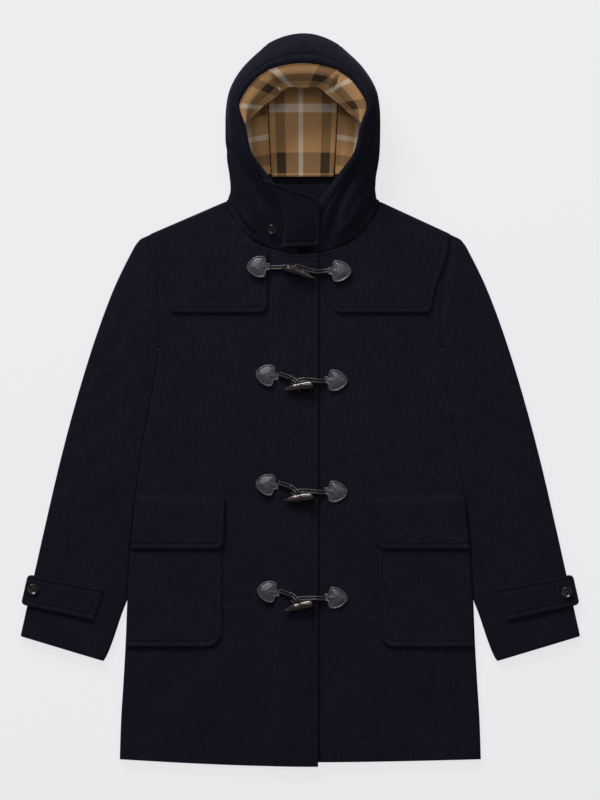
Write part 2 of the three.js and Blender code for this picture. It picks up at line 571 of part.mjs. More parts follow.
// ---- fastenings -----------------------------------------------------------------------
// patch of leather: a shield with its point outward and a narrow tail toward the cords
function leatherPatch(x, y, side) {
  const half = PATCH.height / 2;
  const shape = new THREE.Shape();
  shape.moveTo(-side * (PATCH.length / 2 + PATCH.tail), PATCH.tailHeight / 2);
  shape.lineTo(-side * (PATCH.length / 2 - 2), PATCH.tailHeight / 2);
  shape.lineTo(-side * (PATCH.length / 2 - 3), half);
  shape.quadraticCurveTo(side * PATCH.length * 0.2, half, side * PATCH.length / 2, 0);
  shape.quadraticCurveTo(side * PATCH.length * 0.2, -half, -side * (PATCH.length / 2 - 3), -half);
  shape.lineTo(-side * (PATCH.length / 2 - 2), -PATCH.tailHeight / 2);
  shape.lineTo(-side * (PATCH.length / 2 + PATCH.tail), -PATCH.tailHeight / 2);
  const geometry = new THREE.ExtrudeGeometry(shape, { depth: PATCH.thick, bevelEnabled: false, curveSegments: 5 });
  const spots = linear(-1, 1, 5);
  const heights = spots.flatMap((a) => spots.map((b) => topHeight(x + a * 22, y + b * half)));
  return geometry.translate(x, y, Math.max(...heights) + LAYER);
}
// height of the uppermost cloth, with the yokes
function topHeight(x, y) {
  const onYoke = y > YOKE.low - 1 && Math.abs(x) > 50;
  return onFront(x, y).z + (onYoke ? LAYER + CLOTH : 0);
}
// horn toggle: a tusk, thick at one end, waisted at the middle for its cord
function toggle(thick, tip) {
  const rest = ([x, y], radius) => vec(x, y, topHeight(Math.min(x, FRONT_EDGE), y) + SEAT + radius);
  const a = rest(thick, TOGGLE_R);
  const b = rest(tip, TOGGLE_R - 1.5);
  const along = b.clone().sub(a);
  const sideways = vec(-along.y, along.x, 0).normalize();
  const profile = [[0, 0], [0.03, 0.72], [0.14, 1], [0.4, 0.96], [0.5, 0.82], [0.6, 0.84], [0.82, 0.5], [0.97, 0.25], [1, 0]];
  const lathe = new THREE.LatheGeometry(profile.map(([t, r]) =>
    new THREE.Vector2(r * TOGGLE_R, t * along.length())), 10);
  const turn = new THREE.Matrix4().makeBasis(sideways, along.clone().normalize(),
    sideways.clone().cross(along.clone().normalize()));
  return lathe.applyMatrix4(turn.setPosition(a));
}
// doubled cord: out from a patch, round in a bight, and back
function doubledCord(from, to) {
  const rest = ([x, y]) => vec(x, y, topHeight(Math.min(x, FRONT_EDGE), y) + SEAT + CORD_R);
  const [a, b] = [rest(from), rest(to)];
  const along = b.clone().sub(a).normalize();
  const across = vec(-along.y, along.x, 0).multiplyScalar(CORD_APART);
  const bight = [-60, 0, 60].map((d) => {
    const t = THREE.MathUtils.degToRad(d);
    return b.clone().addScaledVector(along, CORD_APART * Math.cos(t)).addScaledVector(across, Math.sin(t));
  });
  const path = new THREE.CatmullRomCurve3([
    a.clone().sub(across), a.clone().lerp(b, 0.5).sub(across), b.clone().sub(across), ...bight,
    b.clone().add(across), a.clone().lerp(b, 0.5).add(across), a.clone().add(across)]);
  const section = new THREE.Shape(range(8).map((i) => new THREE.Vector2(
    CORD_R * Math.cos(i * Math.PI / 4), CORD_R * Math.sin(i * Math.PI / 4))));
  return new THREE.ExtrudeGeometry(section, { steps: 16, extrudePath: path, bevelEnabled: false });
}
FASTENINGS.forEach(({ right, left, thick, tip, rightBight, leftBight }, i) => {
  const name = `fastening_${i + 1}`;
  add(`${name}_right_patch`, leatherPatch(...right, -1), LEATHER);
  add(`${name}_left_patch`, leatherPatch(...left, 1), LEATHER);
  const reach = PATCH.length / 2 + PATCH.tail + 1.8;
  add(`${name}_toggle_cord`, doubledCord([right[0] + reach, right[1]], rightBight), LEATHER);
  add(`${name}_loop_cord`, doubledCord([left[0] - reach, left[1]], leftBight), LEATHER);
  add(`${name}_toggle`, toggle(thick, tip), HORN);
});

export default coat;
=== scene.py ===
"""Duffle coat laid flat on its back, hood propped open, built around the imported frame."""
import math

import bmesh
import bpy
from mathutils import Matrix, Vector, noise


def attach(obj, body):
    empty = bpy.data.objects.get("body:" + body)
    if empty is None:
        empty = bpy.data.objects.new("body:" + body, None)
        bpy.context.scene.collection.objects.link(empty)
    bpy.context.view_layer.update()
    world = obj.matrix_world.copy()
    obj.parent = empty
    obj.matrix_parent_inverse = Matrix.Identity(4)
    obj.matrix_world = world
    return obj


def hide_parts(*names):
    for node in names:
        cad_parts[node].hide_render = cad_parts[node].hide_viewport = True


bl_info = {
    "name": "Duffle coat",
    "version": (1, 0, 0),
    "blender": (4, 5, 0),
    "location": "View3D > Sidebar > Coat",
    "description": "Builds a navy duffle coat laid flat: melton panels, checked hood lining, horn toggles",
    "category": "Add Mesh",
}

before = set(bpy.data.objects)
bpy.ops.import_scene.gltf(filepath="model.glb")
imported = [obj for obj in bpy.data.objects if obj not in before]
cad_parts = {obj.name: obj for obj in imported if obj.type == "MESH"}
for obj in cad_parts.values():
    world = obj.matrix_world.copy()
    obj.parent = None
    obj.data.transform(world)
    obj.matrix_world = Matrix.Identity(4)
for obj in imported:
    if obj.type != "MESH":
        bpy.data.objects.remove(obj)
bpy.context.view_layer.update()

# ---- sizes, in millimetres; the meshes are scaled to metres as they are made ---------------------
MM = 0.001
CLOTH = 3.0  # wall of the melton
LINING = 1.4  # wall of the brushed lining
FLAT = 9.5  # two cloths lying on each other
FOLD = FLAT / 2  # radius of a folded side edge
LAYER = 0.4  # between a panel and what lies on it
LOWEST = 0.05  # nothing is drawn lower than this over the floor
TWILL_LINE = 2.2
FRONT_EDGE = 28.5
LEFT_EDGE = -30.0
LAP = CLOTH + 0.5
NECK_RISE = 7.0
HOOD_X = 4.0
TIP = (244.0, 264.0)
NECK_POINT = (123.0, 318.0)
HEM = -575.0
ARMHOLE_TOP = 205.0
BACK_NECK = 306.0

# half width of the body: side fold, then armhole seam
BODY_HALF = [
    (-590, 289.5), (-512, 287), (-448, 283), (-384, 279.5), (-320, 277), (-236, 272), (-155, 264),
    (-78, 253.5), (-5, 241), (40, 233), (80, 227.5), (104, 227), (138, 226.5), (159, 228),
    (186, 231), (208, 235), (227, 240), (243, 243), (264, 244),
]
# front neck seam: out from the hood's centre line, Y
NECK_SEAM = [(0, 233), (26, 235.5), (50, 241.5), (70, 249), (88, 262), (103, 279), (116, 298), (123, 318)]
# sleeve from armhole to cuff: outer fold X, Y, inner fold X (0 beside the body), Y
SLEEVE = [
    (249, 264, 227.5, 84), (260, 253, 0, 74), (270, 237, 0, 50), (299, 177, 0, -5), (329, 96, 0, -75),
    (358.5, 0, 0, -140), (384, -96, 0, -205), (406.5, -192, 0, -265), (428, -288, 278.6, -322),
    (448, -378, 315, -418),
]
# hood side from the neck to the crown seam: rim, cheek, side, base, back seam
HOOD = [
    ((14, 290, 32), (70, 300, 34), (116, 331, 15), (102, 334), (50, 336)),
    ((55, 352, 50), (94, 353, 46), (117, 356, 22), (102, 358), (51, 362)),
    ((85, 392, 66), (108, 392, 56), (122, 390, 32), (106, 392), (53, 400)),
    ((95, 434, 76), (114, 434, 66), (123.5, 430, 38), (108, 430), (55, 440)),
    ((106, 466, 82), (118, 468, 70), (121.5, 468, 42), (106, 466), (56, 475)),
    ((96, 490, 85), (111, 497, 74), (113, 499, 44), (98, 493), (56, 503)),
    ((78, 513, 87), (91, 526, 76), (93, 531, 46), (80, 522), (56, 520)),
    ((55, 528, 87), (60, 552, 78), (60, 565, 46), (57, 556), (56, 537)),
]
CROWN_SWELL = [10.5, 19, 20.5, 18, 6]
LIP = [(0, 500), (27, 499), (44, 485), (65, 468), (88, 444)]
LIP_Z = 60.0

# fastenings, top to bottom: patch centres, toggle ends
FASTENINGS = [
    {"right": (-69, 213), "left": (65, 206), "thick": (-23, 211.5), "tip": (23, 194)},
    {"right": (-55, 40), "left": (59, 31), "thick": (21, 25), "tip": (-27, 16)},
    {"right": (-55, -135), "left": (59, -147), "thick": (21, -153.5), "tip": (-27, -161.5)},
    {"right": (-53, -306), "left": (59, -317), "thick": (20, -325), "tip": (-26, -337)},
]


# ---- small mathematics ---------------------------------------------------------------------------
def lerp(a, b, t):
    return a + (b - a) * t


def clamp(v, low, high):
    return max(low, min(high, v))


def smooth(v, low, high):
    t = clamp((v - low) / (high - low), 0.0, 1.0)
    return t * t * (3 - 2 * t)


def bell(distance, width):
    return math.exp(-((distance / width) ** 2))


def lookup(table, at):
    """Value of a two-column table at a key, on a smooth curve through its rows."""
    if at <= table[0][0]:
        return table[0][1]
    for i in range(1, len(table)):
        if at <= table[i][0]:
            (a, va), (b, vb) = table[i - 1], table[i]
            before = table[max(i - 2, 0)]
            after = table[min(i + 1, len(table) - 1)]
            t = (at - a) / (b - a)
            slope_a = (vb - before[1]) / (b - before[0]) * (b - a)
            slope_b = (after[1] - va) / (after[0] - a) * (b - a)
            return (
                va * (2 * t**3 - 3 * t**2 + 1) + vb * (3 * t**2 - 2 * t**3)
                + slope_a * (t**3 - 2 * t**2 + t) + slope_b * (t**3 - t**2)
            )
    return table[-1][1]


def through(points, u):
    """Catmull-Rom curve through a list of vectors, u from 0 to 1."""
    last = len(points) - 1
    i = min(int(u * last), last - 1)
    t = u * last - i
    a, b, c, d = (points[clamp(i + k, 0, last)] for k in (-1, 0, 1, 2))
    return 0.5 * (2 * b + (c - a) * t + (2 * a - 5 * b + 4 * c - d) * t * t + (3 * b - a - 3 * c + d) * t**3)


def segment_distance(x, y, line):
    """Distance from a point to a bent line, and how far along it the nearest spot is, 0 to 1."""
    best, where = 1e9, 0.0
    for i in range(len(line) - 1):
        (ax, ay), (bx, by) = line[i], line[i + 1]
        dx, dy = bx - ax, by - ay
        t = clamp(((x - ax) * dx + (y - ay) * dy) / max(dx * dx + dy * dy, 1e-9), 0.0, 1.0)
        d = math.hypot(x - ax - t * dx, y - ay - t * dy)
        if d < best:
            best, where = d, (i + t) / (len(line) - 1)
    return best, where


def wave(x, y, scale, seed):
    """Soft uneven value between about -1 and 1."""
    return noise.noise(Vector((x / scale, y / scale, seed)))


def steps(start, end, size):
    count = max(1, round(abs(end - start) / size))
    return [lerp(start, end, i / count) for i in range(count + 1)]


def joined(*runs):
    """Stretches of values end to end, without the repeats where they meet."""
    out = []
    for run in runs:
        out += [v for v in run if not out or abs(v - out[-1]) > 1e-6]
    return out


# ---- the coat's upper surface --------------------------------------------------------------------
def body_half(y):
    return lookup(BODY_HALF, y)


def hood_x(x):
    return abs(x - HOOD_X)


def top_line(x):
    """Y of the shoulder seam and, inside the neck point, of the front neck seam."""
    out = hood_x(x)
    if out < NECK_POINT[0]:
        return lookup(NECK_SEAM, out)
    tip = TIP[0] + (HOOD_X if x < 0 else -HOOD_X)
    return lerp(NECK_POINT[1], TIP[1], (out - NECK_POINT[0]) / (tip - NECK_POINT[0]))


def back_neck(x):
    return lerp(BACK_NECK, NECK_POINT[1], (hood_x(x) / NECK_POINT[0]) ** 2)


def neck_rise(x, y):
    across = max(0.0, 1 - (hood_x(x) / 116) ** 2)
    return NECK_RISE * across * bell(max(0.0, top_line(x) - y), 50)


def lap_rise(x):
    return LAP * smooth(x, -50, -34) if x <= FRONT_EDGE + 0.01 else 0.0


# soft creases: line, half width, depth (a ridge is less than 0)
FRONT_CREASES = [
    ([(-226, 92), (-205, 60), (-176, 20), (-150, -40)], 15, 1.5),
    ([(226, 95), (206, 66), (180, 30), (158, -28)], 14, 1.4),
    ([(-228, 140), (-214, 118), (-190, 100)], 9, 1.2),
    ([(227, 150), (212, 124), (186, 104)], 9, 1.1),
    ([(-132, 120), (-120, 20), (-112, -120)], 26, -0.9),
    ([(-168, 96), (-164, 0), (-158, -110)], 20, 0.8),
    ([(128, 118), (122, 6), (116, -128)], 24, -0.8),
    ([(172, 90), (168, -20), (160, -126)], 18, 0.9),
    ([(-214, -410), (-222, -480), (-228, -570)], 26, 1.2),
    ([(-118, -400), (-104, -480), (-98, -580)], 30, -1.2),
    ([(-60, -360), (-66, -470), (-70, -580)], 18, 0.8),
    ([(206, -408), (216, -490), (222, -570)], 24, 1.1),
    ([(112, -404), (100, -490), (92, -575)], 28, -1.1),
    ([(64, -372), (66, -480), (62, -572)], 17, 0.8),
    ([(-90, 132), (-40, 124), (10, 128)], 14, 0.6),
    ([(-60, -60), (-20, -72), (20, -66)], 22, 0.6),
    ([(-52, 226), (-20, 222), (24, 219)], 3, 0.7),
]


def relief(x, y):
    """Depth of the creases and the uneven lie of the cloth at a point of the fronts."""
    depth = 0.55 * wave(x, y, 95, 1.7) + 0.28 * wave(x, y, 38, 4.2)
    for line, width, deep in FRONT_CREASES:
        d, t = segment_distance(x, y, line)
        if d < 3 * width:
            depth += deep * bell(d, width) * math.sin(math.pi * clamp(0.12 + 0.76 * t, 0, 1))
    return depth


def front_height(x, y, lapped=True):
    inside = body_half(y) - abs(x)
    return FLAT + neck_rise(x, y) + (lap_rise(x) if lapped else 0.0) - relief(x, y) * smooth(inside, 0, 24)


def round_drop(inside):
    left = FOLD - clamp(inside, 0.0, FOLD)
    return FOLD - math.sqrt(FOLD**2 - left**2)


def on_front(x, y):
    """Point of the coat's upper face, with the rounding of its side and shoulder edges."""
    z = front_height(x, y)
    if y < 76:
        z -= round_drop(body_half(y) - abs(x))
    if hood_x(x) > 114:
        z -= round_drop(top_line(x) - y) * smooth(hood_x(x), 114, 123)
    return Vector((x, y, z))


# ---- colour and material -------------------------------------------------------------------------
def linear(hex_colour):
    """sRGB hex to linear RGBA."""
    parts = [int(hex_colour[i : i + 2], 16) / 255 for i in (1, 3, 5)]
    return tuple(c / 12.92 if c <= 0.04045 else ((c + 0.055) / 1.055) ** 2.4 for c in parts) + (1.0,)


def size(name):
    """One of the coat's sizes from its settings, in millimetres."""
    return round(getattr(bpy.context.scene.coat_sizes, name) / MM, 4)


def dye(name):
    """One of the coat's colours from its settings, as linear RGBA."""
    return (*getattr(bpy.context.scene.coat_colours, name), 1.0)


def node(tree, kind, inputs, stops=(), **settings):
    """Adds a node. Each input is given a value or another node's output, settings are the node's
    own, and stops are a colour ramp's places and colours."""
    made = tree.nodes.new(kind)
    for key, value in settings.items():
        setattr(made, key, value)
    for key, value in inputs.items():
        if isinstance(value, bpy.types.NodeSocket):
            tree.links.new(value, made.inputs[key])
        else:
            made.inputs[key].default_value = value
    for k, (place, colour) in enumerate(stops):
        element = made.color_ramp.elements[k] if k < 2 else made.color_ramp.elements.new(1.0)
        element.position = place
        element.color = colour
    return made


def new_material(name, **shader):
    """A material with a Principled shader and its constants set on the shader's own sockets."""
    material = bpy.data.materials.new(name)
    material.use_nodes = True
    tree = material.node_tree
    tree.nodes.clear()
    surface = node(tree, "ShaderNodeBsdfPrincipled", {k.replace("_", " "): v for k, v in shader.items()})
    node(tree, "ShaderNodeOutputMaterial", {"Surface": surface.outputs["BSDF"]})
    coords = node(tree, "ShaderNodeTexCoord", {}).outputs["Object"]
    return material, tree, surface, coords


def cells(vector, to_metre, detail, roughness=0.6):
    """Inputs of a noise whose scale is cells to the metre."""
    return {"Vector": vector, "Scale": to_metre, "Detail": detail, "Roughness": roughness}


def roughen(tree, surface, *layers):
    """Bumps the surface by heights laid over each other: each a socket, its depth in metres and
    its strength."""
    under = {}
    for height, depth, strength in layers:
        inputs = {"Height": height, "Distance": depth, "Strength": strength, **under}
        made = node(tree, "ShaderNodeBump", inputs)
        under = {"Normal": made.outputs["Normal"]}
    tree.links.new(under["Normal"], surface.inputs["Normal"])


def melton_material(name, dark, light, sheen=0.10):
    """Wool melton, milled and brushed: a matt felted face whose short nap lies in small tufts
    and catches a little light at grazing angles."""
    material, tree, surface, coords = new_material(
        name, Roughness=0.96, Specular_IOR_Level=0.12, Sheen_Weight=sheen, Sheen_Roughness=0.45,
        Sheen_Tint=linear("#8f93b4"))
    # fibres are drawn about 2 mm apart, coarser than real ones, so that they show
    fibre = node(tree, "ShaderNodeTexNoise", cells(coords, 520, 4, 0.7)).outputs["Fac"]
    along = node(tree, "ShaderNodeMapping", {"Vector": coords, "Scale": (1.0, 0.55, 1.0)}).outputs["Vector"]
    tuft = node(tree, "ShaderNodeTexNoise", cells(along, 190, 3)).outputs["Fac"]
    cloud = node(tree, "ShaderNodeTexNoise", cells(coords, 16, 2, 0.5)).outputs["Fac"]
    grain = node(tree, "ShaderNodeMix", {0: 0.45, 6: fibre, 7: tuft}, data_type="RGBA").outputs[2]
    tone = node(tree, "ShaderNodeMix", {0: 0.13, 6: grain, 7: cloud}, data_type="RGBA").outputs[2]
    colour = node(tree, "ShaderNodeValToRGB", {"Fac": tone}, [(0.36, dye(dark)), (0.66, dye(light))])
    tree.links.new(colour.outputs["Color"], surface.inputs["Base Color"])
    roughen(tree, surface, (tuft, 0.0006, 0.5), (fibre, 0.0005, 0.7))
    return material


def lining_material():
    """Brushed wool twill in a plain two-colour windowpane: camel ground, one brown and one cream
    band to a repeat; where two bands cross both yarns have the band's colour."""
    material, tree, surface, coords = new_material(
        "brushed_wool_check", Roughness=0.95, Specular_IOR_Level=0.15, Sheen_Weight=0.2,
        Sheen_Roughness=0.5, Sheen_Tint=linear("#f0dcc0"))
    camel, brown, cream = dye("camel"), dye("brown"), dye("cream")
    bands = [(0.0, camel), (0.16, brown), (0.37, camel), (0.66, cream), (0.76, camel)]
    uv = node(tree, "ShaderNodeUVMap", {}, uv_map="cut").outputs["UV"]
    fuzz = node(tree, "ShaderNodeTexNoise", cells(coords, 420, 3)).outputs["Fac"]
    split = node(tree, "ShaderNodeSeparateXYZ", {"Vector": uv})
    yarns = []
    for axis in ("X", "Y"):
        soft = node(tree, "ShaderNodeMath", {0: fuzz, 1: 0.022, 2: split.outputs[axis]},
                    operation="MULTIPLY_ADD")
        cell = node(tree, "ShaderNodeMath", {0: soft.outputs[0]}, operation="FRACT")
        yarn = node(tree, "ShaderNodeValToRGB", {"Fac": cell.outputs[0]}, bands)
        yarn.color_ramp.interpolation = "CONSTANT"
        yarns.append(yarn.outputs["Color"])
    # a twill line about every 2.2 mm, drawn coarser than the real weave so that it shows
    diagonal = node(tree, "ShaderNodeMath", {0: split.outputs["X"], 1: split.outputs["Y"]}, operation="ADD")
    lines = node(tree, "ShaderNodeMath", {0: diagonal.outputs[0], 1: size("check_repeat") / TWILL_LINE},
                 operation="MULTIPLY")
    twill = node(tree, "ShaderNodeMath", {0: lines.outputs[0], 1: 0.5}, operation="PINGPONG").outputs[0]
    share = node(tree, "ShaderNodeMath", {0: twill, 1: 0.5, 2: 0.375}, operation="MULTIPLY_ADD")
    woven = node(tree, "ShaderNodeMix", {0: share.outputs[0], 6: yarns[0], 7: yarns[1]}, data_type="RGBA")
    dust = node(tree, "ShaderNodeMath", {0: fuzz, 1: 0.22}, operation="MULTIPLY")
    dusty = node(tree, "ShaderNodeMix", {0: dust.outputs[0], 6: woven.outputs[2], 7: linear("#a5825c")},
                 data_type="RGBA")
    tree.links.new(dusty.outputs[2], surface.inputs["Base Color"])
    roughen(tree, surface, (twill, 0.0004, 0.5), (fuzz, 0.0007, 0.8))
    return material


def leather_material():
    """Smooth black calf leather, finished and edge-painted: fine creased grain, semi-gloss."""
    material, tree, surface, coords = new_material(
        "finished_calf_leather", Roughness=0.34, IOR=1.5, Specular_IOR_Level=0.6, Coat_Weight=0.45,
        Coat_Roughness=0.22)
    pores = node(tree, "ShaderNodeTexVoronoi", {"Vector": coords, "Scale": 620.0}).outputs["Distance"]
    soft = node(tree, "ShaderNodeTexNoise", cells(coords, 140, 4)).outputs["Fac"]
    stops = [(0.3, dye("leather")), (0.7, dye("leather_worn"))]
    colour = node(tree, "ShaderNodeValToRGB", {"Fac": soft}, stops).outputs["Color"]
    tree.links.new(colour, surface.inputs["Base Color"])
    rough = node(tree, "ShaderNodeMapRange", {"Value": soft, "To Min": 0.26, "To Max": 0.44})
    tree.links.new(rough.outputs["Result"], surface.inputs["Roughness"])
    roughen(tree, surface, (pores, 0.0003, 0.6), (soft, 0.0008, 0.5))
    return material


def cord_material():
    """Round waxed leather cord: paler in small random places, with fine splits across it."""
    material, tree, surface, coords = new_material(
        "waxed_leather_cord", Roughness=0.36, Specular_IOR_Level=0.55)
    split = node(tree, "ShaderNodeTexNoise", cells(coords, 700, 3, 0.7)).outputs["Fac"]
    colour = node(tree, "ShaderNodeValToRGB", {"Fac": split}, [(0.3, dye("cord")), (0.7, dye("cord_worn"))])
    tree.links.new(colour.outputs["Color"], surface.inputs["Base Color"])
    roughen(tree, surface, (split, 0.0005, 0.7))
    return material


def horn_material():
    """Polished buffalo horn: dark brown with reddish streaks along its length, under a clear polish."""
    material, tree, surface, coords = new_material(
        "polished_horn", Roughness=0.28, IOR=1.56, Coat_Weight=0.6, Coat_Roughness=0.12)
    layers = []
    for to_metre, detail, stretch in ((90, 5, (0.35, 2.6, 2.6)), (380, 3, (0.3, 2.0, 2.0))):
        along = node(tree, "ShaderNodeMapping", {"Vector": coords, "Scale": stretch}).outputs["Vector"]
        layers.append(node(tree, "ShaderNodeTexNoise", cells(along, to_metre, detail)).outputs["Fac"])
    streak, fine = layers
    tone = node(tree, "ShaderNodeMix", {0: 0.35, 6: streak, 7: fine}, data_type="RGBA").outputs[2]
    stops = [(0.34, dye("horn_dark")), (0.52, dye("horn")), (0.68, dye("horn_streak"))]
    colour = node(tree, "ShaderNodeValToRGB", {"Fac": tone}, stops).outputs["Color"]
    tree.links.new(colour, surface.inputs["Base Color"])
    roughen(tree, surface, (fine, 0.0002, 0.4))
    return material


def button_material():
    """Polished casein button: near black with a brownish cloud."""
    material, tree, surface, coords = new_material(
        "polished_casein", Roughness=0.24, IOR=1.5, Coat_Weight=0.2, Coat_Roughness=0.1)
    cloud = node(tree, "ShaderNodeTexNoise", cells(coords, 160, 3)).outputs["Fac"]
    stops = [(0.4, dye("button")), (0.7, dye("button_cloud"))]
    colour = node(tree, "ShaderNodeValToRGB", {"Fac": cloud}, stops).outputs["Color"]
    tree.links.new(colour, surface.inputs["Base Color"])
    roughen(tree, surface, (cloud, 0.0001, 0.3))
    return material


def thread_material(name, colour):
    """Spun polyester sewing thread, slightly glossy."""
    material, tree, surface, coords = new_material(name, Roughness=0.6, Specular_IOR_Level=0.4)
    ply = node(tree, "ShaderNodeTexNoise", cells(coords, 1500, 2, 0.5)).outputs["Fac"]
    shade = node(tree, "ShaderNodeMix", {0: ply, 6: dye(colour), 7: linear("#05050a")}, data_type="RGBA")
    tree.links.new(shade.outputs[2], surface.inputs["Base Color"])
    return material


MATERIALS = {}


def material(name):
    makers = {
        "melton": lambda: melton_material("wool_melton", "melton_dark", "melton_light"),
        # painted light: the hood's copy of the same melton has slightly paler colours than the body's, so the
        # hood reads brighter; its sheen is also stronger
        "melton_hood_painted_light": lambda: melton_material("wool_melton_hood_painted_light", "hood_dark_painted_light", "hood_pale_painted_light", 0.14),
        "lining": lining_material,
        "leather": leather_material,
        "cord": cord_material,
        "horn": horn_material,
        "button": button_material,
        "thread": lambda: thread_material("navy_thread", "thread"),
        "leather_thread": lambda: thread_material("grey_thread", "patch_thread"),
    }
    if name not in MATERIALS:
        MATERIALS[name] = makers[name]()
    return MATERIALS[name]


def finish_piece(bm, name, finish, nodes=()):
    """Turns a bmesh in metres into a shaded object that rides on the coat and stands for its nodes."""
    title = name + "_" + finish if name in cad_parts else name
    for v in bm.verts:
        v.co.z = max(v.co.z, LOWEST * MM)
    mesh = bpy.data.meshes.new(title)
    bm.to_mesh(mesh)
    bm.free()
    mesh.shade_smooth()
    piece = bpy.data.objects.new(title, mesh)
    bpy.context.scene.collection.objects.link(piece)
    mesh.materials.append(material(finish))
    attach(piece, "root")
    if nodes:
        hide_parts(*nodes)
    return piece


def grid_bmesh(columns, rows, place):
    """A grid of quads whose points come from place(column, row) -> (point in mm, dent in mm).
    A dent sinks the point along its normal once all are placed."""
    bm = bmesh.new()
    bmesh.ops.create_grid(bm, x_segments=len(columns) - 1, y_segments=len(rows) - 1, size=0.5)
    dents = bm.verts.layers.float.new("dent")
    uv = bm.loops.layers.uv.new("cut")
    across, along = len(columns) - 1, len(rows) - 1
    repeat = size("check_repeat")
    for v in bm.verts:
        i, j = round((v.co.x + 0.5) * across), round((v.co.y + 0.5) * along)
        point, dent = place(columns[i], rows[j])
        v.co = point * MM
        v[dents] = dent
        v.index = j * (across + 1) + i
    for face in bm.faces:
        for loop in face.loops:
            i, j = loop.vert.index % (across + 1), loop.vert.index // (across + 1)
            loop[uv].uv = (columns[i] / repeat, rows[j] / repeat)
    return bm


def sink(bm, outward, lowest=LOWEST):
    """Turns the faces outward, then sinks each point by its dent, none below the lowest height."""
    bm.normal_update()
    balance = sum(f.normal.dot(outward(f.calc_center_median())) * f.calc_area() for f in bm.faces)
    if balance < 0:
        bmesh.ops.reverse_faces(bm, faces=bm.faces[:])
        bm.normal_update()
    dents = bm.verts.layers.float["dent"]
    moves = [(v, v.normal * v[dents] * MM) for v in bm.verts if abs(v[dents]) > 1e-4]
    for v, move in moves:
        v.co -= move
    bm.normal_update()
    for v in bm.verts:
        v.co.z = max(v.co.z, lowest * MM)


def thicken(piece, thickness, edge):
    """Gives a sheet its wall, inward from its outer face, and rounds the wall's edges."""
    wall = piece.modifiers.new("wall", "SOLIDIFY")
    wall.thickness = thickness * MM
    wall.offset = -1.0
    wall.use_even_offset = False
    wall.thickness_clamp = 0.0
    if edge:
        rounding = piece.modifiers.new("edge", "BEVEL")
        rounding.width = edge * MM
        rounding.segments = 3
        rounding.limit_method = "ANGLE"
        rounding.angle_limit = math.radians(60)
        rounding.harden_normals = False


def cloth(bm, name, finish, nodes, edge=1.2, thinner=0.0):
    """A cut piece of cloth: its wall and its node."""
    piece = finish_piece(bm, name, finish, nodes)
    thicken(piece, size("lining_wall" if finish == "lining" else "melton_wall") - thinner, edge)
    return piece


def up(_point):
    return Vector((0, 0, 1))


# ---- stitches ------------------------------------------------------------------------------------
def stitch_line(bm, points, radius=0.32, sink_by=0.1):
    """Adds a run of stitches along a bent line of points, in mm."""
    lengths = [0.0]
    for a, b in zip(points, points[1:]):
        lengths.append(lengths[-1] + (b - a).length)
    count = max(1, int(lengths[-1] / size("stitch_pitch")))
    at = 0
    for k in range(count):
        middle = (k + 0.5) * lengths[-1] / count
        while at < len(points) - 2 and lengths[at + 1] < middle:
            at += 1
        a, b = points[at], points[at + 1]
        span = max(lengths[at + 1] - lengths[at], 1e-6)
        spot = a.lerp(b, clamp((middle - lengths[at]) / span, 0, 1))
        way = (b - a).normalized()
        turn = way.to_track_quat("Z", "Y").to_matrix().to_4x4()
        place = Matrix.Translation((spot - Vector((0, 0, sink_by))) * MM) @ turn
        bmesh.ops.create_cone(bm, cap_ends=True, segments=6, radius1=radius * MM, radius2=radius * MM,
                              depth=size("stitch_length") * MM, matrix=place)


# ---- fronts and back -----------------------------------------------------------------------------
FLAT_EDGE = TIP[0] - FOLD
SIDE_COLUMNS = joined(steps(150, 232, 6), steps(232, FLAT_EDGE, 2.2), steps(FLAT_EDGE, TIP[0], 0.95))
BODY_ROWS = joined(steps(HEM, HEM + 9, 1.8), steps(HEM + 9, 70, 6.5), steps(70, 92, 2.2),
                   steps(92, 236, 6), steps(236, TIP[1], 1.6))


def body_spot(column, row, side, dip):
    """X and Y of a body point and how far the side edge turns it down. A column is an X on the
    shoulder row, a row a Y on the side seam, and dip is how low the hem hangs there."""
    out = side * column
    stretch = (body_half(row) - TIP[0]) * (out / TIP[0]) ** 2 if out > 0 else 0.0
    x, y, drop = column + side * stretch, row, 0.0
    beyond = out - FLAT_EDGE
    in_armhole = smooth(row, 76, 88)
    if beyond > 0:
        angle = beyond / FOLD * math.pi / 2
        rounded = body_half(row) - FOLD + FOLD * math.sin(angle)
        x = side * lerp(rounded, body_half(row) - FOLD + beyond, in_armhole)
        drop = (1 - in_armhole) * FOLD * (1 - math.cos(angle))
    if row > ARMHOLE_TOP:
        part = (row - ARMHOLE_TOP) / (TIP[1] - ARMHOLE_TOP)
        y = lerp(ARMHOLE_TOP, top_line(column), part)
    else:
        y -= dip * (1 - smooth(row, HEM, HEM + 130))
    return x, y, drop


def armhole_dent(x, y):
    """The sewn armhole pulls both cloths down along their seam."""
    return 1.6 * bell(body_half(y) - abs(x), 3.6) * smooth(y, 74, 92)


def front_place(side, lapped, dip):
    def place(column, row):
        x, y, drop = body_spot(column, row, side, dip(column))
        z = front_height(x, y, lapped) - drop
        seam = round_drop(top_line(column) - y)
        if hood_x(x) > 112:
            z -= seam * smooth(hood_x(x), 112, 123)
        dent = armhole_dent(x, y)
        if hood_x(x) < 123 and row > 230:
            down = top_line(column) - y
            dent += 1.0 * bell(down - 7, 1.5) + 0.9 * bell(down, 2.0)
        if lapped:
            dent += 1.3 * bell(FRONT_EDGE - x - 8, 1.6) - 0.7 * bell(FRONT_EDGE - x - 4, 2.4)
            dent += 0.7 * bell(x + 47, 1.8) * smooth(row, 205, 245)
        else:
            dent += 1.6 * bell(x - FRONT_EDGE - 1.2, 2.2)
        return Vector((x, y, z)), dent

    return place


def right_dip(x):
    return 12 * (1 - clamp((FRONT_EDGE - x) / (FRONT_EDGE + TIP[0]), 0, 1) ** 2)


def left_dip(x):
    return 5 * (1 - clamp(x / TIP[0], 0, 1) ** 2)


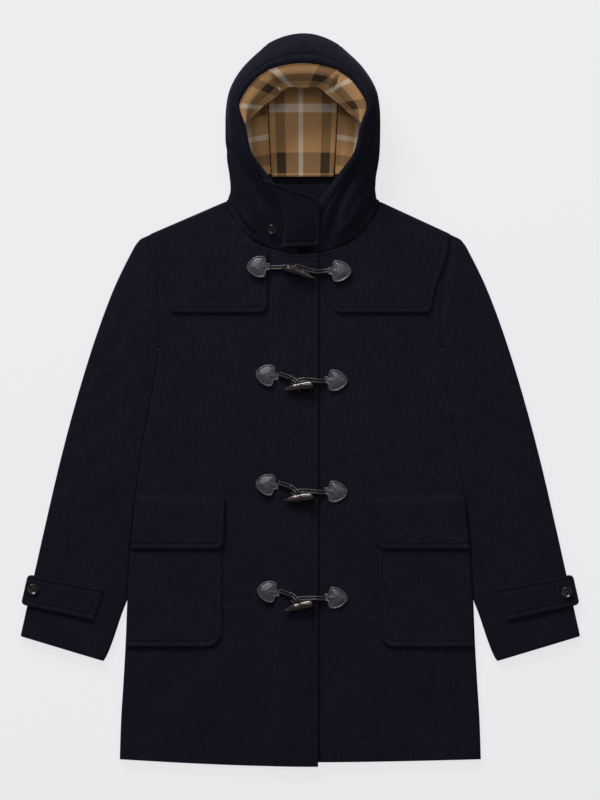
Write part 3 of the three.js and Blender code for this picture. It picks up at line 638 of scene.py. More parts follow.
def build_fronts():
    right = joined(steps(FRONT_EDGE, 14, 1.2), steps(14, -28, 5), steps(-28, -56, 2.8),
                   steps(-56, -150, 5.2), [-x for x in SIDE_COLUMNS])
    left = joined(steps(LEFT_EDGE, 22, 8), steps(22, 36, 1), steps(36, 150, 5.2), SIDE_COLUMNS)
    sides = (("right_front", -1, right, right_dip), ("left_front", 1, left, left_dip))
    for name, side, columns, dip in sides:
        bm = grid_bmesh(columns, BODY_ROWS, front_place(side, side < 0, dip))
        sink(bm, up)
        cloth(bm, name, "melton", [name])


def build_back():
    def place(column, row):
        side = 1 if column > 0 else -1
        x, y, lift = body_spot(column, row, side, 0)
        reach = back_neck(x) if hood_x(x) < NECK_POINT[0] else top_line(x)
        if row > ARMHOLE_TOP:
            y = lerp(ARMHOLE_TOP, reach, (row - ARMHOLE_TOP) / (TIP[1] - ARMHOLE_TOP))
        lift += round_drop(reach - y) * smooth(hood_x(x), 112, 123)
        uneven = 0.5 + 0.45 * wave(x, y, 110, 8.3) + 0.3 * wave(x, y, 45, 2.1)
        inside = smooth(body_half(y) - abs(x), 3, 40) * smooth(y, HEM + 2, HEM + 40)
        return Vector((x, y, lift + uneven * inside)), 0.8 * armhole_dent(x, y)

    columns = joined([-x for x in reversed(SIDE_COLUMNS)], steps(-150, 150, 8), SIDE_COLUMNS)
    bm = grid_bmesh(columns, BODY_ROWS, place)
    sink(bm, lambda p: Vector((0, 0, -1)))
    cloth(bm, "back_panel", "melton", ["back_panel"])


# ---- sleeves -------------------------------------------------------------------------------------
SLEEVE_CREASES = [
    ([(268, 150), (292, 92), (318, 60)], 11, 1.8),
    ([(262, 100), (284, 44), (322, -6)], 13, 2.0),
    ([(262, 20), (296, -30), (352, -62)], 15, 1.7),
    ([(276, -60), (322, -104), (372, -126)], 16, 1.4),
    ([(300, 120), (326, 40), (346, -40)], 18, -1.2),
    ([(284, -150), (326, -186), (392, -196)], 18, 1.2),
    ([(330, -60), (350, -140), (372, -230)], 20, -0.9),
    ([(300, -220), (352, -250), (404, -256)], 15, 1.0),
    ([(252, 236), (262, 180), (260, 120)], 9, 1.0),
    ([(330, -352), (337, -376), (343, -402)], 2.4, 0.9),
    ([(300, -190), (310, -250), (315, -300)], 3.5, 0.4),
]


def sleeve_rail(v):
    """Inner and outer edge of the flattened sleeve at a place from armhole, 0, to cuff, 1."""
    outer = through([Vector((row[0], row[1], 0)) for row in SLEEVE], v)
    inner_y = through([Vector((row[3], 0, 0)) for row in SLEEVE], v).x
    parted = max(0.0, v * (len(SLEEVE) - 1) - 7.98) / 1.02
    inner = Vector((body_half(inner_y) - 0.3 + 34 * parted, inner_y, 0))
    return inner, outer


def sleeve_place(side):
    def place(turn, v):
        """turn runs round the tube: 0 to 1 over the top, 1 to 1.1 round the outer fold, to 2.1
        back underneath, to 2.2 round the inner fold."""
        inner, outer = sleeve_rail(v)
        along = (outer - inner).normalized()
        start, end = inner + along * FOLD, outer - along * FOLD
        if turn <= 1:
            spot, t, top = start.lerp(end, turn), turn, 1.0
        elif turn <= 1.1:
            angle = (turn - 1) * 10 * math.pi
            spot, t, top = end + along * FOLD * math.sin(angle), 1.0, math.cos(angle)
        elif turn <= 2.1:
            spot, t, top = end.lerp(start, turn - 1.1), 2.1 - turn, -1.0
        else:
            angle = (turn - 2.1) * 10 * math.pi
            spot, t, top = start - along * FOLD * math.sin(angle), 0.0, -math.cos(angle)
        seam = 1 - smooth(v, 0, 0.1)
        joined_x = body_half(max(spot.y, 80)) - 0.5
        x, y = lerp(spot.x, joined_x, seam**2), spot.y
        fullness = 3.4 * math.sin(math.pi * t) ** 0.8 * smooth(v, 0, 0.08) * lerp(1, 0.45, smooth(v, 0.6, 1))
        depth = 0.5 * wave(x, y, 80, 3.1 + side) + 0.3 * wave(x, y, 30, 6.4)
        for line, width, deep in SLEEVE_CREASES:
            d, s = segment_distance(x, y, line)
            if d < 3 * width:
                depth += deep * bell(d, width) * math.sin(math.pi * clamp(0.15 + 0.7 * s, 0, 1))
        within = math.sin(math.pi * clamp(t, 0, 1)) ** 0.5 if 0 < t < 1 else 0.0
        z = FOLD + FOLD * top
        if top > 0:
            z += (fullness - depth * within * smooth(v, 0.0, 0.06)) * top
        else:
            z += 0.6 * within * (1 + wave(x, y, 60, 9.0))
        dent = 1.5 * bell(v * 640, 3.6) + 0.5 * bell((1 - v) * 640 - 1, 2)
        return Vector((side * x, y, z)), dent

    return place


def build_sleeves():
    over = joined(steps(0, 0.06, 0.012), steps(0.06, 0.94, 0.026), steps(0.94, 1, 0.012))
    fold = [k / 80 for k in range(9)]
    round_it = joined(over, [1 + t for t in fold], [2.1 - t for t in reversed(over)], [2.1 + t for t in fold])
    lengths = joined(steps(0, 0.03, 0.003), steps(0.03, 0.97, 0.0085), steps(0.97, 1, 0.003))
    for name, side in (("right_sleeve", -1), ("left_sleeve", 1)):
        bm = grid_bmesh(round_it, lengths, sleeve_place(side))
        bmesh.ops.remove_doubles(bm, verts=bm.verts[:], dist=0.00002)
        sink(bm, lambda p: Vector((0, 0, p.z - FOLD * MM)))
        cloth(bm, name, "melton", [name])


# ---- panels sewn on the fronts -------------------------------------------------------------------
YOKE_LOW, YOKE_RADIUS, YOKE_IN = 140.0, 13.0, FOLD + 0.5
POCKET_LOW, POCKET_RADIUS = -395.0, 26.0
FLAP_LOW, FLAP_RADIUS = -238.0, 12.0
PANEL_STITCH = 7.0  # from a panel's edge to its row of stitches
SIDE_WRAP = 2.6


def corner_cut(radius, height):
    if height >= radius:
        return 0.0
    left = radius - max(height, 0.0)
    return radius - math.sqrt(max(radius**2 - left**2, 0.0))


def yoke_shape(side):
    inner = 53.0 if side < 0 else 52.0
    return {
        "inner": lambda y: inner, "low": YOKE_LOW, "radius": YOKE_RADIUS, "outer_radius": YOKE_RADIUS,
        "outer": lambda y: lerp(210, 236, smooth(y, YOKE_LOW + 4, 262)), "lift": lambda y: 0.0,
        "top": lambda a: top_line(side * a) - YOKE_IN, "side": side, "stitch_outer": True,
    }


def pocket_shape(side):
    return {
        "inner": lambda y: 126.0, "low": POCKET_LOW, "radius": POCKET_RADIUS, "outer_radius": 0.0,
        "outer": lambda y: body_half(y) - FOLD + SIDE_WRAP, "lift": lambda y: 0.0,
        "top": lambda a: -166.0, "side": side, "stitch_outer": False,
    }


def flap_shape(side):
    return {
        "inner": lambda y: lerp(123.5, 121.5, smooth(y, FLAP_LOW, -150)), "low": FLAP_LOW,
        "radius": FLAP_RADIUS, "outer_radius": 0.0, "outer": lambda y: body_half(y) - FOLD + SIDE_WRAP + 0.6,
        "lift": lambda y: (CLOTH + LAYER) * (1 - smooth(y, -163, -152)),
        "top": lambda a: lerp(-154, -147, clamp((a - 121) / 140, 0, 1)), "side": side, "stitch_outer": False,
    }


def panel_point(shape, a, y, above=0.0):
    p = on_front(shape["side"] * a, y)
    p.z += shape["lift"](y) + LAYER + CLOTH + above
    return p


def stitch_path(shape, inset):
    """The row of stitches inside a panel's edge: down its inner edge, round the corner, along the
    foot, and up the outer edge where that isn't in a seam."""
    low, radius, outer_radius = shape["low"], shape["radius"], shape["outer_radius"]
    top = shape["top"](shape["inner"](0) + inset) - 1.5
    path = [(shape["inner"](y) + inset, y) for y in steps(top, low + radius, 4)]
    centre = (shape["inner"](low) + radius, low + radius)
    bend = max(radius - inset, 1.0)
    path += [(centre[0] - bend * math.cos(t), centre[1] - bend * math.sin(t)) for t in steps(0.2, 1.4, 0.15)]
    end = shape["outer"](low) - outer_radius - (0 if outer_radius else 1.5)
    path += [(a, low + inset) for a in steps(centre[0], end, 4)]
    if shape["stitch_outer"]:
        bend = max(outer_radius - inset, 1.0)
        path += [(end + bend * math.sin(t), low + outer_radius - bend * math.cos(t))
                 for t in steps(0.2, 1.4, 0.15)]
        ends = shape["top"](shape["outer"](240) - inset) - 2
        path += [(shape["outer"](y) - inset, y) for y in steps(low + outer_radius, ends, 4)]
    return path


def panel_place(shape, trough):
    """Columns 0 to 1 run from the inner edge out, rows 0 to 1 from the foot up."""
    low, radius, outer_radius = shape["low"], shape["radius"], shape["outer_radius"]

    def place(u, v):
        guess = lerp(shape["inner"](low), shape["outer"](low), u)
        y = lerp(low, shape["top"](guess), v)
        inner = shape["inner"](y) + corner_cut(radius, y - low)
        outer = shape["outer"](y) - (corner_cut(outer_radius, y - low) if outer_radius else 0)
        a = lerp(inner, outer, u)
        y = lerp(low, shape["top"](a), v)
        puff = 0.35 * wave(a * shape["side"], y, 26, 12.0)
        distance = segment_distance(a, y, trough)[0]
        edge = min(a - inner, y - low) if u < 0.5 else y - low
        dent = 1.1 * bell(distance, 1.5) - 0.65 * bell(edge - 3.2, 2.6) + puff * 0.4
        return panel_point(shape, a, y), dent

    return place


def add_panel(name, shape, count, extra=None):
    """One sewn-on panel and its row of stitches. count is its grid, across and up."""
    width = shape["outer"](shape["low"] + 40) - shape["inner"](0)
    height = shape["top"](shape["inner"](0)) - shape["low"]
    edge = PANEL_STITCH + 3
    side = edge / width
    columns = joined(steps(0, side, 1.1 / width), steps(side, 1 - side, count[0] / width),
                     steps(1 - side, 1, 1.1 / width))
    curve = max(shape["radius"], edge) / height
    head = 1 - 14 / height
    rows = joined([curve * (k / 18) ** 1.7 for k in range(19)], steps(curve, head, count[1] / height),
                  steps(head, 1, 1.5 / height))
    path = stitch_path(shape, PANEL_STITCH)
    trough = path[::2] + [path[-1]]
    bm = grid_bmesh(columns, rows, panel_place(shape, trough))
    if extra:
        dents = bm.verts.layers.float["dent"]
        for v in bm.verts:
            v[dents] += extra(v.co.x / MM, v.co.y / MM)
    sink(bm, up)
    panel = cloth(bm, name, "melton", [name])
    line = bmesh.new()
    stitch_line(line, [panel_point(shape, a, y, -0.45) for a, y in path])
    stitches = finish_piece(line, name + "_stitches", "thread")
    return panel, stitches


def build_yokes():
    for name, side in (("right", -1), ("left", 1)):
        add_panel(name + "_yoke", yoke_shape(side), (4.5, 5))


def welt(x, y):
    """Dent of the seam along a pocket flap's top and of the fullness above it."""
    return 0.9 * bell(y + 161 + 0.045 * (abs(x) - 190), 1.5) - 0.5 * bell(y + 154, 4)


def build_pockets():
    for name, side in (("right", -1), ("left", 1)):
        add_panel(name + "_pocket", pocket_shape(side), (5, 5))
        add_panel(name + "_pocket_flap", flap_shape(side), (5, 3.2),
                  welt)


# ---- cuff tabs -----------------------------------------------------------------------------------
CUFF_TAB = (((314, -302), (330, -353)), ((436, -279), (447, -327)))  # inner end, outer end: top, foot
CUFF_RADIUS = 7.0
CUFF_BUTTONS = {-1: (-427.5, -303.0), 1: (426.0, -308.0)}


def sleeve_top(side, x, y):
    """Height of the sleeve's upper face near the cuff."""
    best = None
    place = sleeve_place(side)
    for v in steps(0.80, 1.0, 0.01):
        inner, outer = sleeve_rail(v)
        way = outer - inner
        t = ((x - inner.x) * way.x + (y - inner.y) * way.y) / way.length_squared
        foot = inner + way * t
        d = math.hypot(foot.x - x, foot.y - y)
        if best is None or d < best[0]:
            best = (d, v, t)
    return place(clamp(best[2], 0.0, 1.0), best[1])[0].z


def cuff_point(u, v):
    (a, b), (c, d) = CUFF_TAB
    inner = Vector((*a, 0)).lerp(Vector((*b, 0)), v)
    outer = Vector((*c, 0)).lerp(Vector((*d, 0)), v)
    return inner.lerp(outer, u)


def build_cuffs():
    width, height = 124.0, 51.0
    for name, side in (("right", -1), ("left", 1)):
        def place(u, v):
            near = min(v, 1 - v) * height
            reach = 1 - corner_cut(CUFF_RADIUS, near) / width
            p = cuff_point(u * reach, v)
            past = clamp((u - 0.925) / 0.075, 0, 1)
            inside = clamp(u, 0.0, 0.93)
            seat = cuff_point(inside, v)
            z = sleeve_top(side, seat.x, seat.y) + LAYER + CLOTH - 3.2 * past**2
            edge = min(near, (1 - u) * width)
            dent = 1.0 * bell(edge - PANEL_STITCH, 1.5) - 0.7 * bell(edge - 3.2, 2.6)
            dent += 1.8 * bell(u * width, 2.4)
            return Vector((side * p.x, p.y, z)), dent

        columns = joined(steps(0, 0.05, 0.012), steps(0.05, 0.88, 0.035), steps(0.88, 1, 0.0085))
        rows = joined(steps(0, 0.2, 0.022), steps(0.2, 0.8, 0.06), steps(0.8, 1, 0.022))
        bm = grid_bmesh(columns, rows, place)
        sink(bm, up)
        cloth(bm, name + "_cuff_tab", "melton", [name + "_cuff_tab"])
        inset = PANEL_STITCH
        path = [(u, inset / height) for u in steps(0.03, 1 - inset / width, 0.02)]
        path += [(1 - inset / width, v) for v in steps(inset / height, 1 - inset / height, 0.06)]
        path += [(u, 1 - inset / height) for u in steps(1 - inset / width, 0.03, 0.02)]
        line = bmesh.new()
        points = [place(u, v)[0] - Vector((0, 0, 0.45)) for u, v in path]
        stitch_line(line, points)
        finish_piece(line, name + "_cuff_tab_stitches", "thread")
        x, y = CUFF_BUTTONS[side]
        z = sleeve_top(side, abs(x), y) + LAYER + CLOTH
        add_button(name + "_cuff_button", Vector((x, y, z)), Vector((0, 0, 1)), size("cuff_button_radius"))


BUTTON_RADIUS = 9.0  # of the profile below: radius, height
BUTTON_PROFILE = [(0.4, 0.0), (6.2, 0.0), (8.3, 0.7), (9.0, 1.8), (8.9, 2.7), (8.2, 3.5), (7.4, 3.6),
                  (6.4, 3.0), (5.4, 2.2), (4.2, 1.7), (2.2, 2.1), (0.01, 2.3)]


def add_button(name, seat, normal, radius):
    """A round four-hole button with a raised rim, sewn on with crossed thread."""
    bm = bmesh.new()
    scale = radius / BUTTON_RADIUS
    last = None
    for r, h in BUTTON_PROFILE:
        v = bm.verts.new((r * scale * MM, 0, (h + 0.35) * MM))
        if last:
            bm.edges.new((last, v))
        last = v
    bmesh.ops.spin(bm, geom=bm.verts[:] + bm.edges[:], cent=(0, 0, 0), axis=(0, 0, 1),
                   angle=math.tau, steps=48, use_merge=True)
    bmesh.ops.remove_doubles(bm, verts=bm.verts[:], dist=0.00003)
    bmesh.ops.recalc_face_normals(bm, faces=bm.faces[:])
    turn = Matrix.Translation(seat * MM) @ normal.to_track_quat("Z", "Y").to_matrix().to_4x4()
    bmesh.ops.transform(bm, matrix=turn, verts=bm.verts[:])
    button = finish_piece(bm, name, "button", [name])
    holes = bmesh.new()
    for k in range(4):
        angle = math.pi / 4 + k * math.pi / 2
        out = 2.1 * scale * MM
        spot = Matrix.Translation((out * math.cos(angle), out * math.sin(angle), 2.66 * MM))
        bmesh.ops.create_cone(holes, cap_ends=True, segments=12, radius1=0.85 * scale * MM,
                              radius2=0.7 * scale * MM, depth=0.15 * MM, matrix=turn @ spot)
    for angle in (math.pi / 4, -math.pi / 4):
        lay = Matrix.Rotation(angle, 4, "Z") @ Matrix.Rotation(math.pi / 2, 4, "Y")
        spot = Matrix.Translation((0, 0, 2.95 * MM))
        bmesh.ops.create_cone(holes, cap_ends=True, segments=8, radius1=0.35 * MM, radius2=0.35 * MM,
                              depth=4.2 * scale * MM, matrix=turn @ spot @ lay)
    finish_piece(holes, name + "_thread", "thread")
    return button


# ---- hood ----------------------------------------------------------------------------------------
HOOD_CREASES = [
    ([(108, 392), (92, 366), (74, 338), (60, 306), (50, 276), (44, 250)], 7, 8.0),
    ([(122, 322), (102, 297), (84, 277), (64, 257)], 4.2, 7.0),
    ([(114, 345), (94, 312), (76, 282), (62, 258)], 6, -3.4),
    ([(-120, 322), (-100, 294), (-86, 275), (-72, 262)], 4, 5.5),
    ([(-104, 312), (-86, 286), (-66, 262)], 5, -2.2),
    ([(-112, 398), (-90, 364), (-67, 332), (-51, 306), (-41, 280), (-31, 246)], 8, 7.0),
    ([(-108, 470), (-104, 420), (-96, 380)], 12, 1.8),
    ([(116, 470), (112, 424), (102, 384)], 12, 1.8),
    ([(-60, 536), (-20, 556), (20, 560), (64, 540)], 9, -0.8),
    ([(-70, 560), (-40, 552), (-20, 566)], 10, 1.2),
    ([(40, 572), (64, 556), (82, 536)], 10, 1.2),
]
ROLL = 3.6  # radius of the rim's turned edge
HOOD_WIDE, HOOD_LONG = 150.0, 300.0  # cut size of a hood side, rim to back and neck to crown
_rows = {}
_bent = {}


def hood_rows(side):
    """Control points of a hood side, neck row first, each from the rim to the back seam."""
    if side in _rows:
        return _rows[side]
    first = []
    for out in (12 if side < 0 else 16, 50, 88, 110, 123):
        x, y = HOOD_X + side * out, lookup(NECK_SEAM, out)
        first.append(Vector((x, y, FLAT + neck_rise(x, y) + (lap_rise(x) if side < 0 else 0.0))))
    first[4].z = FOLD
    first += [Vector((HOOD_X + side * out, back_neck(HOOD_X + side * out), 0)) for out in (106, 50)]
    rows = [first]
    for rim, cheek, edge, base, back in HOOD:
        at = [Vector((HOOD_X + side * p[0], p[1], p[2] if len(p) > 2 else 0.0))
              for p in (rim, cheek, edge, base, back)]
        bow = at[1] - (at[0] + at[2]) / 2
        bend = [at[0].lerp(at[2], t) + bow * 4 * t * (1 - t) for t in (0.25, 0.75)]
        rows.append([at[0], bend[0], at[1], bend[1], at[2], at[3], at[4]])
    _rows[side] = rows
    return rows


def hood_point(side, v, s):
    key = (side, round(v, 6))
    if key not in _bent:
        rows = hood_rows(side)
        _bent[key] = [through([row[c] for row in rows], v) for c in range(7)]
    p = through(_bent[key], clamp(s, 0.0, 1.0))
    p.z = max(p.z, 0.0)
    return p


def from_head(p):
    return p - Vector((HOOD_X, clamp(p.y, 380, 490), 42))


def hood_normal(side, v, s):
    a, b = hood_point(side, min(v + 0.01, 1), s), hood_point(side, max(v - 0.01, 0), s)
    c, d = hood_point(side, v, min(s + 0.02, 1)), hood_point(side, v, max(s - 0.02, 0))
    n = (a - b).cross(c - d).normalized()
    return -n if n.dot(from_head(hood_point(side, v, s))) < 0 else n


def rim_roll(point, tangent, normal, past):
    """A turned edge: past millimetres of cloth beyond the rim, rolled inward."""
    angle = past / ROLL
    return point + tangent * ROLL * math.sin(angle) - normal * ROLL * (1 - math.cos(angle))


def hood_dent(p, from_rim):
    depth = 0.45 * wave(p.x, p.y, 60, 5.5) + 0.25 * wave(p.x, p.y, 24, 7.1)
    if p.z > 3:
        for line, width, deep in HOOD_CREASES:
            d, t = segment_distance(p.x, p.y, line)
            if d < 3 * width:
                depth += deep * bell(d, width) * math.sin(math.pi * clamp(0.14 + 0.74 * t, 0, 1))
    depth *= smooth(from_rim, -1, 9)
    band = 1.5 * bell(from_rim - 15, 1.8) - 1.1 * bell(from_rim - 7, 6)
    return depth + band


def hood_side_place(side):
    def place(column, row):
        v, s = row / HOOD_LONG, column / HOOD_WIDE
        p = hood_point(side, v, s)
        soft = smooth(row, 0, 14)
        edge = 1.2 * bell(row, 3) + (0.9 * bell(HOOD_LONG - row, 2.2) + 0.9 * bell(HOOD_WIDE - column, 2.2))
        if column < 0:
            tangent = (hood_point(side, v, 0) - hood_point(side, v, 0.03)).normalized()
            p = rim_roll(p, tangent, hood_normal(side, v, 0.01), -column)
            return p, edge
        return p, hood_dent(p, column) * soft + edge

    return place


def centre_rail(side, q):
    """Seam of the centre panel: along the crown for q to 1, then down the back to the nape."""
    return hood_point(side, 1, q) if q < 1 else hood_point(side, 2 - q, 1)


def centre_point(q, t):
    p = centre_rail(-1, q).lerp(centre_rail(1, q), t)
    place = q * 4
    if place < 4:
        low = int(place)
        swell = lerp(CROWN_SWELL[low], CROWN_SWELL[low + 1], smooth(place - low, 0, 1))
    else:
        swell = max(0.0, CROWN_SWELL[4] * (1 - (place - 4)))
    p.y += swell * 4 * t * (1 - t)
    return p


def centre_normal(q, t):
    a, b = centre_point(min(q + 0.02, 2), t), centre_point(max(q - 0.02, 0), t)
    c, d = centre_point(q, min(t + 0.04, 1)), centre_point(q, max(t - 0.04, 0))
    n = (a - b).cross(c - d).normalized()
    return -n if n.dot(from_head(centre_point(q, t))) < 0 else n


CENTRE_WIDE, CENTRE_LONG = 116.0, 300.0


def hood_centre_place(column, row):
    t, q = column / CENTRE_WIDE, row / HOOD_WIDE
    edge = 0.9 * bell(column, 2.2) + 0.9 * bell(CENTRE_WIDE - column, 2.2)
    p = centre_point(max(q, 0), t)
    if row < 0:
        tangent = (centre_point(0, t) - centre_point(0.03, t)).normalized()
        return rim_roll(p, tangent, centre_normal(0.01, t), -row), edge
    return p, hood_dent(p, row) + edge


def build_hood():
    rim = steps(-9.5, 0, 1.2)
    columns = joined(rim, steps(0, 20, 1.4), steps(20, 146, 2.6), steps(146, HOOD_WIDE, 1.3))
    rows = joined(steps(0, 6, 1.2), steps(6, 294, 2.6), steps(294, HOOD_LONG, 1.5))
    for name, side in (("hood_right_side", -1), ("hood_left_side", 1)):
        bm = grid_bmesh(columns, rows, hood_side_place(side))
        sink(bm, lambda p: from_head(p / MM))
        cloth(bm, name, "melton_hood_painted_light", [name])
    across = joined(steps(0, 4, 1.3), steps(4, 112, 3), steps(112, CENTRE_WIDE, 1.3))
    down = joined(rim, steps(0, 20, 1.4), steps(20, CENTRE_LONG, 3))
    bm = grid_bmesh(across, down, hood_centre_place)
    sink(bm, lambda p: from_head(p / MM))
    cloth(bm, "hood_centre", "melton_hood_painted_light", ["hood_centre"])
    band = bmesh.new()
    for side in (-1, 1):
        stitch_line(band, [hood_point(side, v, 15 / HOOD_WIDE) + hood_normal(side, v, 0.1) * -0.4
                           for v in steps(0.27, 0.985, 0.01)])
    stitch_line(band, [centre_point(15 / HOOD_WIDE, t) + centre_normal(0.1, t) * -0.4
                       for t in steps(0.02, 0.98, 0.03)])
    finish_piece(band, "hood_rim_stitches", "thread")


# ---- hood lining ---------------------------------------------------------------------------------
LINING_IN = CLOTH + 0.9
LINING_FOLDS = [
    ([(-66, 478), (-56, 440), (-56, 400), (-50, 346)], 4.5, 6.5),
    ([(72, 478), (64, 440), (64, 400), (58, 346)], 4.5, 6.5),
    ([(-96, 462), (-80, 420), (-70, 380), (-58, 350)], 4.5, 5.0),
    ([(104, 462), (88, 420), (78, 380), (66, 350)], 4.5, 5.0),
    ([(-20, 486), (-14, 430), (-22, 372)], 9, 1.6),
    ([(34, 486), (26, 440), (36, 380)], 9, 1.6),
    ([(-44, 478), (4, 490), (52, 478)], 10, 3.0),
]


LINING_FULL = 7.0  # how far the loose lining stands off the hood between its folds


def lining_dent(p):
    """How far the lining sinks away from the viewer: it hangs loosely, so it bulges between folds."""
    depth = 0.8 * wave(p.x, p.y, 34, 11.0) + 0.4 * wave(p.x, p.y, 15, 13.0) - LINING_FULL
    for line, width, deep in LINING_FOLDS:
        d = segment_distance(p.x, p.y, line)[0]
        if d < 3 * width:
            depth += deep * bell(d, width)
    return min(depth, 0.0)


def build_lining():
    for name, side in (("hood_lining_right", -1), ("hood_lining_left", 1)):
        def place(column, row):
            v, s = row / HOOD_LONG, column / HOOD_WIDE
            bulge = 6.0 * math.sin(math.pi * smooth(s, 0.25, 0.98))
            bulge *= smooth(v, 0.2, 0.4) * (1 - smooth(v, 0.8, 1))
            p = hood_point(side, v, s)
            sunk = max(0.0, hood_dent(p, column)) if s < 0.6 else 0.0
            p -= hood_normal(side, v, s) * (LINING_IN + bulge + sunk)
            return p, lining_dent(p) * smooth(s, 0.02, 0.2)

        columns = joined(steps(1.5, HOOD_WIDE - 1, 2.6))
        bm = grid_bmesh(columns, steps(74, HOOD_LONG - 2, 2.8), place)
        sink(bm, lambda p: -from_head(p / MM), CLOTH + LINING + 0.4)
        cloth(bm, name, "lining", [name],
              edge=0)

    def centre(column, row):
        t, q = column / CENTRE_WIDE, row / HOOD_WIDE
        p = centre_point(q, t) - centre_normal(q, t) * LINING_IN
        return p, lining_dent(p) if q > 0.6 else 0.0

    bm = grid_bmesh(steps(1, CENTRE_WIDE - 1, 2.6), steps(2, HOOD_WIDE * 1.77, 2.8), centre)
    sink(bm, lambda p: -from_head(p / MM), CLOTH + LINING + 0.4)
    cloth(bm, "hood_lining_centre", "lining", ["hood_lining_centre"],
          edge=0)
    build_brow()

    def nape(column, row):
        y = lerp(299, 343.5 + 2 * bell(column, 30), row / 33)
        return Vector((HOOD_X + column, y, 5.2 + 0.8 * wave(column, row, 20, 1.0))), 0.0

    band = grid_bmesh(steps(-50, 50, 4), steps(0, 33, 3), nape)
    sink(band, up)
    cloth(band, "inner_neck_band", "melton", ["inner_neck_band"],
          edge=0.6, thinner=1.0)


BROW_LONG, BROW_DROP = 260.0, 52.0
BROW_SHIFT = 13.0  # moves the check along the drop, so no band runs along the lip
BROW_TURN = 3.2  # radius of the fold's lower lip
PINCHES = ((-33, 497), (50, 497))


def brow_rails():
    def inside_rim(out, y, z, side):
        rim = Vector((HOOD_X + side * out, y, 0))
        rim += (Vector((HOOD_X, 440, 0)) - rim).normalized() * 3.0
        rim.z = z - CLOTH - 1.0
        return rim

    sides = {side: [inside_rim(*row[0], side) for row in HOOD[3:]] for side in (-1, 1)}
    top = HOOD[-1][0]
    middle = inside_rim(0, top[1] + CROWN_SWELL[0], top[2], 1)
    lips = {side: [Vector((HOOD_X + side * x, y, LIP_Z)) for x, y in reversed(LIP[1:])] for side in (-1, 1)}
    upper = sides[-1] + [middle] + sides[1][::-1]
    lower = lips[-1] + [Vector((HOOD_X, LIP[0][1], LIP_Z))] + lips[1][::-1]
    return upper, lower


def build_brow():
    upper, lower = brow_rails()

    def place(column, row):
        row += BROW_SHIFT
        u, v = 0.5 + column / BROW_LONG, row / BROW_DROP
        a, b = through(upper, u), through(lower, u)
        down = (b - a).normalized()
        p = a.lerp(b, clamp(v, 0, 1))
        p.z += 7 * math.sin(math.pi * clamp(v, 0, 1))
        if v > 1:
            past = (row - BROW_DROP) / BROW_TURN
            angle = min(past, math.pi)
            flat = Vector((down.x, down.y, 0)).normalized()
            p = b + flat * BROW_TURN * math.sin(angle) - Vector((0, 0, BROW_TURN * (1 - math.cos(angle))))
            p -= flat * max(0.0, past - math.pi) * BROW_TURN
        dent = 0.9 * wave(p.x, p.y, 26, 3.3) * smooth(v, 0, 0.3)
        for x, y in PINCHES:
            way = 1 if x > HOOD_X else -1
            line = [(x, y - 2), (x + way * 5, y + 8), (x + way * 13, y + 20), (x + way * 17, y + 34)]
            d, t = segment_distance(p.x, p.y, line)
            dent += 6.0 * bell(d, 3.2) * (1 - 0.8 * t) * smooth(v, 0.1, 0.5)
            lean, s = segment_distance(p.x, p.y, [(q[0] - way * 6, q[1]) for q in line])
            dent -= 1.6 * bell(lean, 4) * (1 - s)
        return p, dent

    columns = steps(-BROW_LONG * 0.485, BROW_LONG * 0.485, 2.2)
    bends = joined(steps(0, BROW_DROP, 2.4), steps(BROW_DROP, BROW_DROP + 10, 1.2),
                   steps(BROW_DROP + 10, BROW_DROP + 24, 2.8))
    rows = [row - BROW_SHIFT for row in bends]
    bm = grid_bmesh(columns, rows, place)
    sink(bm, up)
    cloth(bm, "hood_lining_fold", "lining", ["hood_lining_fold"],
          edge=0)


# ---- throat tab ----------------------------------------------------------------------------------
TAB_LOW, TAB_HIGH = (30.5, 247.0), (31.0, 321.0)
TAB_WIDE, TAB_TALL = 62.0, 76.0


def tab_point(u, v):
    start = hood_point(-1, lerp(0.02, 0.25, v), lerp(0.115, 0.10, v))
    level = hood_point(1, lerp(0.02, 0.2, v), 0.02)
    free = Vector((lerp(TAB_LOW[0], TAB_HIGH[0], v), lerp(TAB_LOW[1], TAB_HIGH[1], v), level.z + 2))
    p = start.lerp(free, u)
    p.z += 4 * math.sin(math.pi * min(1.0, u + 0.15)) + LAYER + CLOTH
    return p


def build_throat():
    def place(u, v):
        near = min(v, 1 - v) * TAB_TALL
        cut = corner_cut(6.0, near) / TAB_WIDE
        p = tab_point(u * (1 - cut), v)
        p.z -= 4.5 * (1 - smooth(u * TAB_WIDE, 0, 9)) ** 2
        edge = min(near, (1 - u) * TAB_WIDE)
        dent = 1.1 * bell(edge - 6.0, 1.5) - 0.8 * bell(edge - 2.8, 2.4) + 0.5 * wave(p.x, p.y, 22, 17.0)
        return p, dent

    columns = joined(steps(0, 0.84, 0.035), steps(0.84, 1, 0.016))
    rows = joined(steps(0, 0.13, 0.014), steps(0.13, 0.87, 0.035), steps(0.87, 1, 0.014))
    bm = grid_bmesh(columns, rows, place)
    sink(bm, up)
    cloth(bm, "throat_tab", "melton_hood_painted_light", ["throat_tab"])
    path = [(u, 6 / TAB_TALL) for u in steps(0.12, 0.90, 0.04)]
    path += [(0.90, v) for v in steps(0.08, 0.92, 0.04)]
    path += [(u, 1 - 6 / TAB_TALL) for u in steps(0.90, 0.12, 0.04)]
    line = bmesh.new()
    stitch_line(line, [place(u, v)[0] - Vector((0, 0, 0.5)) for u, v in path])
    finish_piece(line, "throat_tab_stitches", "thread")
    seat, normal = hood_point(-1, 0.08, 0.2), hood_normal(-1, 0.08, 0.2)
    add_button("throat_button", seat, normal, size("throat_button_radius"))


